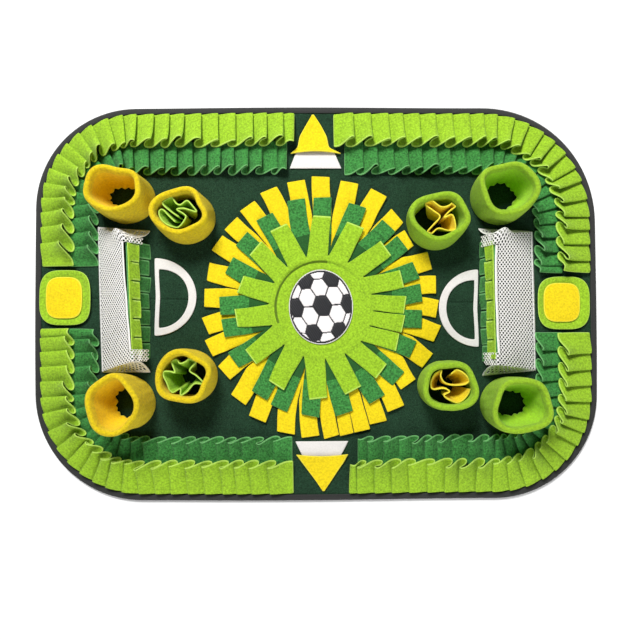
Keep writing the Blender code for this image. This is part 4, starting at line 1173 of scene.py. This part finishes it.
def net_point(goal, along, across):
    """Point of the net's middle surface; along runs over both end flaps and the roof."""
    name, facing, _, _, _, top_y, bottom_y = goal
    sign = 1 if name == "left" else -1
    place = min(max((along - NET_FLAP) / (1 - 2 * NET_FLAP), 0.0), 1.0)
    raised = min(min(along, 1 - along) / NET_FLAP, 1.0)
    if across > 1.0:
        edge = net_point(goal, along, 1.0)
        _, roof_x, front_x = goal_station(goal, place)
        slope = Vector((front_x + 2.0 * facing - roof_x, 0, 5.0 - GOAL_HEIGHT)).normalized()
        beyond = (across - 1.0) * NET_WIDTH
        bend = 2.0 * math.sin(beyond / 4.0 + 26 * along) + math.sin(beyond / 2.2 - 40 * along)
        return edge + slope * beyond + Vector((facing * 1.5, 0, 1.6 + bend * min(beyond / 6, 1)))
    outer_x, roof_x, front_x = goal_station(goal, place)
    low_y = lerp(bottom_y[0], bottom_y[1], across)
    high_y = lerp(top_y[0], top_y[1], across)
    slope = 1.0 + GOAL_END * across
    y = lerp(low_y + slope, high_y - slope, place)
    corner_y, inward = (low_y, 1) if along < 0.5 else (high_y, -1)
    free_x = lerp(front_x, roof_x, raised ** 1.5)
    if raised < 1.0:
        y = lerp(corner_y, y, raised ** 0.7) + inward * 4.0 * across * math.sin(math.pi * raised)
    rise = GOAL_HEIGHT * (1 - (1 - raised) ** 1.5) * (1.3 * across - 0.3 * across * across)
    ripple = 0.9 * math.sin(13 * along + 3 * across + sign)
    ripple += 0.5 * math.sin(29 * along - 4 * across)
    slack = 1.1 * math.sin(math.pi * across) * math.sin(math.pi * along * 3.0 + sign)
    rise += raised * (across * ripple + slack)
    crumple = math.sin(math.pi * raised) * math.sin(9 * across + 2 * along * sign)
    rise += 2.6 * across * crumple
    peak = math.exp(-((1 - along - NET_FLAP) / 0.045) ** 2 - ((across - 0.8) / 0.16) ** 2)
    rise += 7.0 * peak
    y += 6.0 * peak
    x = lerp(outer_x, free_x, across)
    x += facing * 1.6 * raised * across * math.sin(5.2 * along + sign)
    low = FLOOR + NET_THREAD / 2
    return Vector((x, y, max(low + rise, low)))


def make_goal_net(goal, materials):
    """Net with open holes in a staggered pattern, over the goal's tent shape."""
    name = goal[0]
    width, length = NET_WIDTH, NET_LENGTH
    rows = int(length / NET_ROW)
    step_v = length / (rows + 1)
    step_u = width / (int(width / NET_PITCH) + 0.5)
    drapes = NET_DRAPES[name]
    end = NET_FLAP * length
    points, faces = [], []

    def place(across_mm, along_mm):
        return net_point(goal, min(max(along_mm / length, 0.0), 1.0), max(across_mm / width, 0.0))

    def band(lines, steps):
        first = len(points)
        for line in lines:
            for k in range(steps):
                points.append(place(*(lerp(a, b, k / (steps - 1)) for a, b in zip(*line))))
        faces.extend(grid_faces(2, steps, first=first))

    for row in range(1, rows + 1):
        v = row * step_v
        shift = 0.5 if row % 2 else 0.0
        draped = end < v < end + drapes[0] or length - end - drapes[1] < v < length - end
        limit = width + NET_DRAPE_WIDTH if draped else width - 0.6 * step_u
        for column in range(int((width + NET_DRAPE_WIDTH) / step_u) + 1):
            u = (column + shift) * step_u
            if u < 0.6 * step_u or u > limit:
                continue
            first = len(points)
            turns = [2 * math.pi * k / NET_RING + math.pi / 6 for k in range(NET_RING)]
            for k, turn in enumerate(turns):
                reach = 0.5 if k % 2 else 1 / math.sqrt(3)
                points.append(place(u + step_u * reach * math.cos(turn),
                                    v + step_v * 2 / math.sqrt(3) * reach * math.sin(turn)))
            for turn in turns:
                points.append(place(u + NET_HOLE * math.cos(turn), v + NET_HOLE * math.sin(turn)))
            faces += grid_faces(2, NET_RING, closed=True, first=first)
    for ends in ((0.0, 0.5 * step_v), (length - 0.5 * step_v, length)):
        band([((0.0, v), (width, v)) for v in ends], 30)
    hem = (width - 0.75 * step_u, width)
    for edge, (start, stop) in (((0.0, 0.75 * step_u), (0.0, length)),
                                (hem, (end + drapes[0], length - end - drapes[1])),
                                (hem, (0.0, end)), (hem, (length - end, length))):
        band([((u, start), (u, stop)) for u in edge], 120)
    make_piece("mesh_" + name, points, faces, [materials["net"]], nodes=("goal_net_" + name,),
               slot="net", sheet=(width, "stretched", ["felt_mat"]), thickness=NET_THREAD,
               weld=0.04)


def make_curtain(goal, curtain, seed, materials):
    """Slit fleece curtain across the goal's mouth, its strips bowed and their tips and sides
    painted paler as a painted highlight.
    """
    name, facing, _, _, _, (_, high_y), (_, low_y) = goal
    colour, count, offset, length_share, width_share, bulge = curtain
    rng = random.Random(seed)
    detail = random.Random(seed + 70)
    top_y = high_y - GOAL_END - GOAL_ENDS_CLEAR
    bottom_y = low_y + GOAL_END + GOAL_ENDS_CLEAR
    pitch = (top_y - bottom_y) * width_share / count
    first_y = (top_y + bottom_y - pitch * count) / 2
    root_z = FLOOR + GOAL_HEIGHT - CURTAIN_DROP
    foot_z = FLOOR + FLEECE / 2

    def curtain_point(y, share, out=0.0):
        place = (y - low_y) / (high_y - low_y)
        _, roof_x, front_x = goal_station(goal, place)
        drop = Vector((front_x - facing * 2.0 - roof_x, 0, foot_z - root_z))
        normal = Vector((-drop.z * facing, 0, abs(drop.x))).normalized()
        return Vector((roof_x, y, root_z)) + drop * share + normal * (offset + out)

    backing = CURTAIN_BACKING / (root_z - foot_z)
    points, faces, tags = [], [], []
    for i in range(count):
        left = first_y + pitch * i + SLIT / 2
        right = left + pitch - SLIT
        sway = rng.uniform(-0.8, 0.8)
        length = length_share * rng.uniform(0.90, 1.0)
        swell = bulge * rng.uniform(0.3, 1.0)
        twist = detail.uniform(-1.2, 1.2)
        curl = detail.uniform(*((2.0, 14.0) if bulge > 0 else (0.0, 5.0)))
        first = len(points)
        for drop in (0.0, backing * 0.8):
            for share in STRIP_COLUMNS:
                points.append(curtain_point(lerp(left - SLIT / 2, right + SLIT / 2, share), drop))
        for fall in CURTAIN_ROWS:
            for share in STRIP_COLUMNS:
                side = 2 * share - 1
                y = lerp(left, right, share) + sway * fall * 0.5
                out = swell * math.sin(math.pi * min(fall / 1.1, 1.0))
                out += 0.35 * (1 - side * side) * fall + twist * side * fall * 0.9
                out += curl * max(0.0, fall - 0.55) ** 2
                points.append(curtain_point(y, lerp(backing, length, fall), max(out, 0.0)))
        rows, sides = 2 + len(CURTAIN_ROWS), (0, len(STRIP_COLUMNS) - 2)
        strip, marks = tagged_grid(rows, len(STRIP_COLUMNS), lambda row, column:
                                   row == rows - 2 or (row > 2 and column in sides), first=first)
        faces += strip
        tags += marks
    make_fleece("curtain_%s_%s" % (colour, name), "goal_fringe_%s_%s" % (colour, name), colour,
                (points, faces, tags), (pitch * count, "hung", ["mesh_" + name]), materials,
                weld=0.05)


# Flat pieces

def make_arc_line(row, materials):
    """White felt half ring closed by a thin line that kinks at the storage crease."""
    name, centre_x, centre_y, facing, radii, band, line = row
    level = FLOOR + WHITE_FELT / 2
    outer, inner = [], []
    for i in range(ARC_STEPS + 1):
        turn = math.radians(lerp(-90, 90, i / ARC_STEPS))
        outer.append((centre_x + facing * radii[0] * math.cos(turn),
                      centre_y + radii[1] * math.sin(turn)))
        reach_x = radii[0] - band
        wide = band + ARC_TOP_EXTRA * max(0.0, math.sin(turn)) ** 1.5
        inner.append((centre_x + facing * (line + (reach_x - line) * math.cos(turn)),
                      centre_y + (radii[1] - wide) * math.sin(turn)))
    for y_share in ARC_LINE_STOPS:
        kink = ARC_KINK * max(0.0, 1 - abs(y_share) / 0.75)
        outer.append((centre_x + facing * kink, centre_y + radii[1] * y_share))
        wide = band + (ARC_TOP_EXTRA if y_share > 0 else 0.0)
        inner.append((centre_x + facing * (line + kink), centre_y + (radii[1] - wide) * y_share))
    points = []
    for share in ARC_COLUMNS:
        for i, (start, end) in enumerate(zip(outer, inner)):
            soft = 0.15 * math.sin(i * 1.3)
            points.append((lerp(start[0], end[0], share), lerp(start[1], end[1], share),
                           level + 0.05 * soft))
    faces = grid_faces(len(ARC_COLUMNS), len(outer), closed=True)
    # its rim takes the paler white, a painted highlight
    make_piece("felt_arc_" + name, points, faces,
               [materials["white"], materials["white_edge"]], nodes=("arc_line_" + name,),
               slot="felt_white", sheet=(band + 2, "laid", ["felt_mat"]),
               thickness=WHITE_FELT, smooth=1)


def rounded_square(centre, half, inset):
    """Plan points of a superellipse."""
    ring = []
    for i in range(PAD_STEPS):
        turn = 2 * math.pi * (i + 0.5) / PAD_STEPS
        cosine, sine = math.cos(turn), math.sin(turn)
        x = math.copysign(abs(cosine) ** (2 / PAD_ROUND), cosine)
        y = math.copysign(abs(sine) ** (2 / PAD_ROUND), sine)
        ring.append((centre[0] + (half[0] - inset) * x, centre[1] + (half[1] - inset) * y))
    return ring


def make_pad(name, colour, centre, half, rings, level_at, rests_on, materials,
             parts=("", "_edge")):
    """Rounded pad from rings of (inset, share of the rim's lift), its outer band a cut edge painted
    paler as a painted highlight.
    """
    points = []
    for ring in rings:
        for i, (x, y) in enumerate(rounded_square(centre, half, ring[0])):
            points.append((x, y, level_at(ring, i, y - centre[1])))
    faces, tags = tagged_grid(len(rings), PAD_STEPS, lambda row, _: row == len(rings) - 2,
                              closed=True)
    faces.append(tuple(range(PAD_STEPS)))
    make_fleece("pad_" + name, "side_pad_" + name, colour, (points, faces, tags + [0]),
                (2 * half[0], "laid", [rests_on], 2 * half[1]), materials, parts=parts)


def make_side_pad(row, materials):
    """Lime pad with a puffed rim and the yellow piece sewn on it."""
    name, centre, half, top_centre, top_half = row
    level = FLOOR + FLEECE / 2
    top_level = level + FLEECE + SEAT
    puff = smooth_noise("pad" + name, 5)

    def rim_level(ring, i, away):
        turn = 2 * math.pi * i / PAD_STEPS
        wave = 0.8 + 0.2 * math.sin(4 * math.pi * i / PAD_STEPS + 0.6) + 0.12 * puff(turn)
        notch = 1 - 0.45 * math.exp(-(away / 3.5) ** 2)
        return level + PAD_RIM_LIFT * ring[1] * wave * notch

    def top_piece_level(ring, _, away):
        crease = 0.5 * math.exp(-(away / 1.8) ** 2)
        drawn = 0.35 * math.exp(-((ring[0] - 3.0) / 1.0) ** 2)
        return top_level + 0.45 * ease(ring[0] / 9.0) - crease * 0.6 - drawn

    make_pad(name, "lime", centre, half, PAD_RINGS, rim_level, "felt_mat", materials,
             parts=("", "_edge", "_edge"))
    make_pad("top_" + name, "yellow", top_centre, top_half, PAD_TOP_RINGS, top_piece_level,
             "pad_" + name, materials)


def make_flag(row, materials):
    """Pointed fleece flag, its straight edge open and arched."""
    name, rows, arch = row
    shares = [0.0, FLAG_CUT[0]] + [k / 10 for k in range(1, 10)] + [1 - FLAG_CUT[0], 1.0]
    downs = [0.0, FLAG_CUT[1]] + [k / 12 for k in range(1, 12)] + [1 - FLAG_CUT[1], 1.0]
    levels = [i / (len(rows) - 1) for i in range(len(rows))]
    points = []
    for down in downs:
        y, left, right = (np.interp(down, levels, column) for column in zip(*rows))
        for across in shares:
            bow = 2.0 * down ** 4 * math.sin(math.pi * across)
            rise = down * (WHITE_FELT + SEAT) + arch * down ** 2 * math.sin(math.pi * across)
            pinch = 0.4 * math.sin(3 * math.pi * across) * down ** 2
            points.append((lerp(left, right, across), y + math.copysign(bow, y),
                           FLOOR + FLEECE / 2 + rise + max(pinch, 0.0)))
    # the border bands on all four sides take the paler cut-edge colour, a painted highlight
    shape = (points, *tagged_grid(len(downs), len(shares), lambda row, column: column in
                                  (0, len(shares) - 2) or row in (0, len(downs) - 2)))
    tall = abs(rows[0][0] - rows[-1][0])
    base = rows[-1][2] - rows[-1][1]
    make_fleece("pennant_" + name, "flag_yellow_" + name, "yellow", shape,
                (base, "laid", ["felt_mat"], tall + 2), materials)


def make_band(row, materials):
    """White felt band that shows beyond a flag's open edge."""
    name, outer_y, outer_x, covered_y, covered_x = row
    level = FLOOR + WHITE_FELT / 2
    points = []
    for down in BAND_ROWS:
        left = lerp(outer_x[0], covered_x[0], down)
        right = lerp(outer_x[1], covered_x[1], down)
        for across in BAND_COLUMNS:
            wave = 0.08 * math.sin(9 * across + 5 * down)
            points.append((lerp(left, right, across), lerp(outer_y, covered_y, down),
                           level + wave))
    faces = grid_faces(len(BAND_ROWS), len(BAND_COLUMNS))
    # its rim takes the paler white, a painted highlight
    make_piece("felt_band_" + name, points, faces, [materials["white"], materials["white_edge"]],
               nodes=("flag_white_" + name,), slot="felt_white",
               sheet=(abs(outer_y - covered_y), "laid", ["felt_mat"]), thickness=WHITE_FELT,
               smooth=1)


# Stage

def make_stage():
    """Pale floor, soft lights from the back left, and the camera above the mat."""
    bpy.ops.mesh.primitive_plane_add(size=6.0, location=(0, 0, -0.0005))
    floor = bpy.context.object
    floor.name = "stage_floor"
    paint = bpy.data.materials.new("pale_floor")
    paint.use_nodes = True
    shader = paint.node_tree.nodes["Principled BSDF"]
    shader.inputs["Base Color"].default_value = (0.97, 0.97, 0.97, 1.0)
    shader.inputs["Roughness"].default_value = 0.9
    floor.data.materials.append(paint)
    for name, place, energy, size in LIGHTS:
        lamp = bpy.data.lights.new(name, "AREA")
        lamp.energy = energy
        lamp.size = size
        holder = add_object(name, lamp)
        holder.location = place
        holder.rotation_euler = (-Vector(place)).to_track_quat("-Z", "Y").to_euler()
    world = bpy.data.worlds.new("studio")
    world.use_nodes = True
    background = world.node_tree.nodes["Background"]
    background.inputs["Color"].default_value = (1.0, 1.0, 1.0, 1.0)
    background.inputs["Strength"].default_value = WORLD_LIGHT
    bpy.context.scene.world = world
    lens = bpy.data.cameras.new("camera")
    lens.angle = math.radians(CAMERA_VIEW)
    lens.clip_start = 0.01
    camera = add_object("camera", lens)
    camera.location = Vector(CAMERA_AT) * MM
    camera.rotation_euler = [math.radians(turn) for turn in CAMERA_TURNS]
    lens.shift_x, lens.shift_y = CAMERA_SHIFT
    bpy.context.scene.camera = camera
    bpy.context.scene.view_settings.view_transform = "Standard"


def main():
    """Load the frame and dress every solid."""
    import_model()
    materials = make_materials()
    make_stage()
    make_base(materials)
    make_tape(materials)
    make_ruffles(materials)
    for row in CUPS:
        make_cup(row, materials)
    for corner in INSERTS:
        make_insert(corner, materials)
    for index, row in enumerate(FLOWER_LAYERS):
        make_flower_layer(row, index + 40, materials)
    make_ball_patch(materials)
    for index, goal in enumerate(GOALS):
        make_goal_net(goal, materials)
        for number, curtain in enumerate(CURTAINS):
            make_curtain(goal, curtain, 60 + 2 * index + number, materials)
    for make, rows in ((make_arc_line, ARC_LINES), (make_side_pad, SIDE_PADS),
                       (make_flag, FLAGS), (make_band, BANDS)):
        for row in rows:
            make(row, materials)


main()
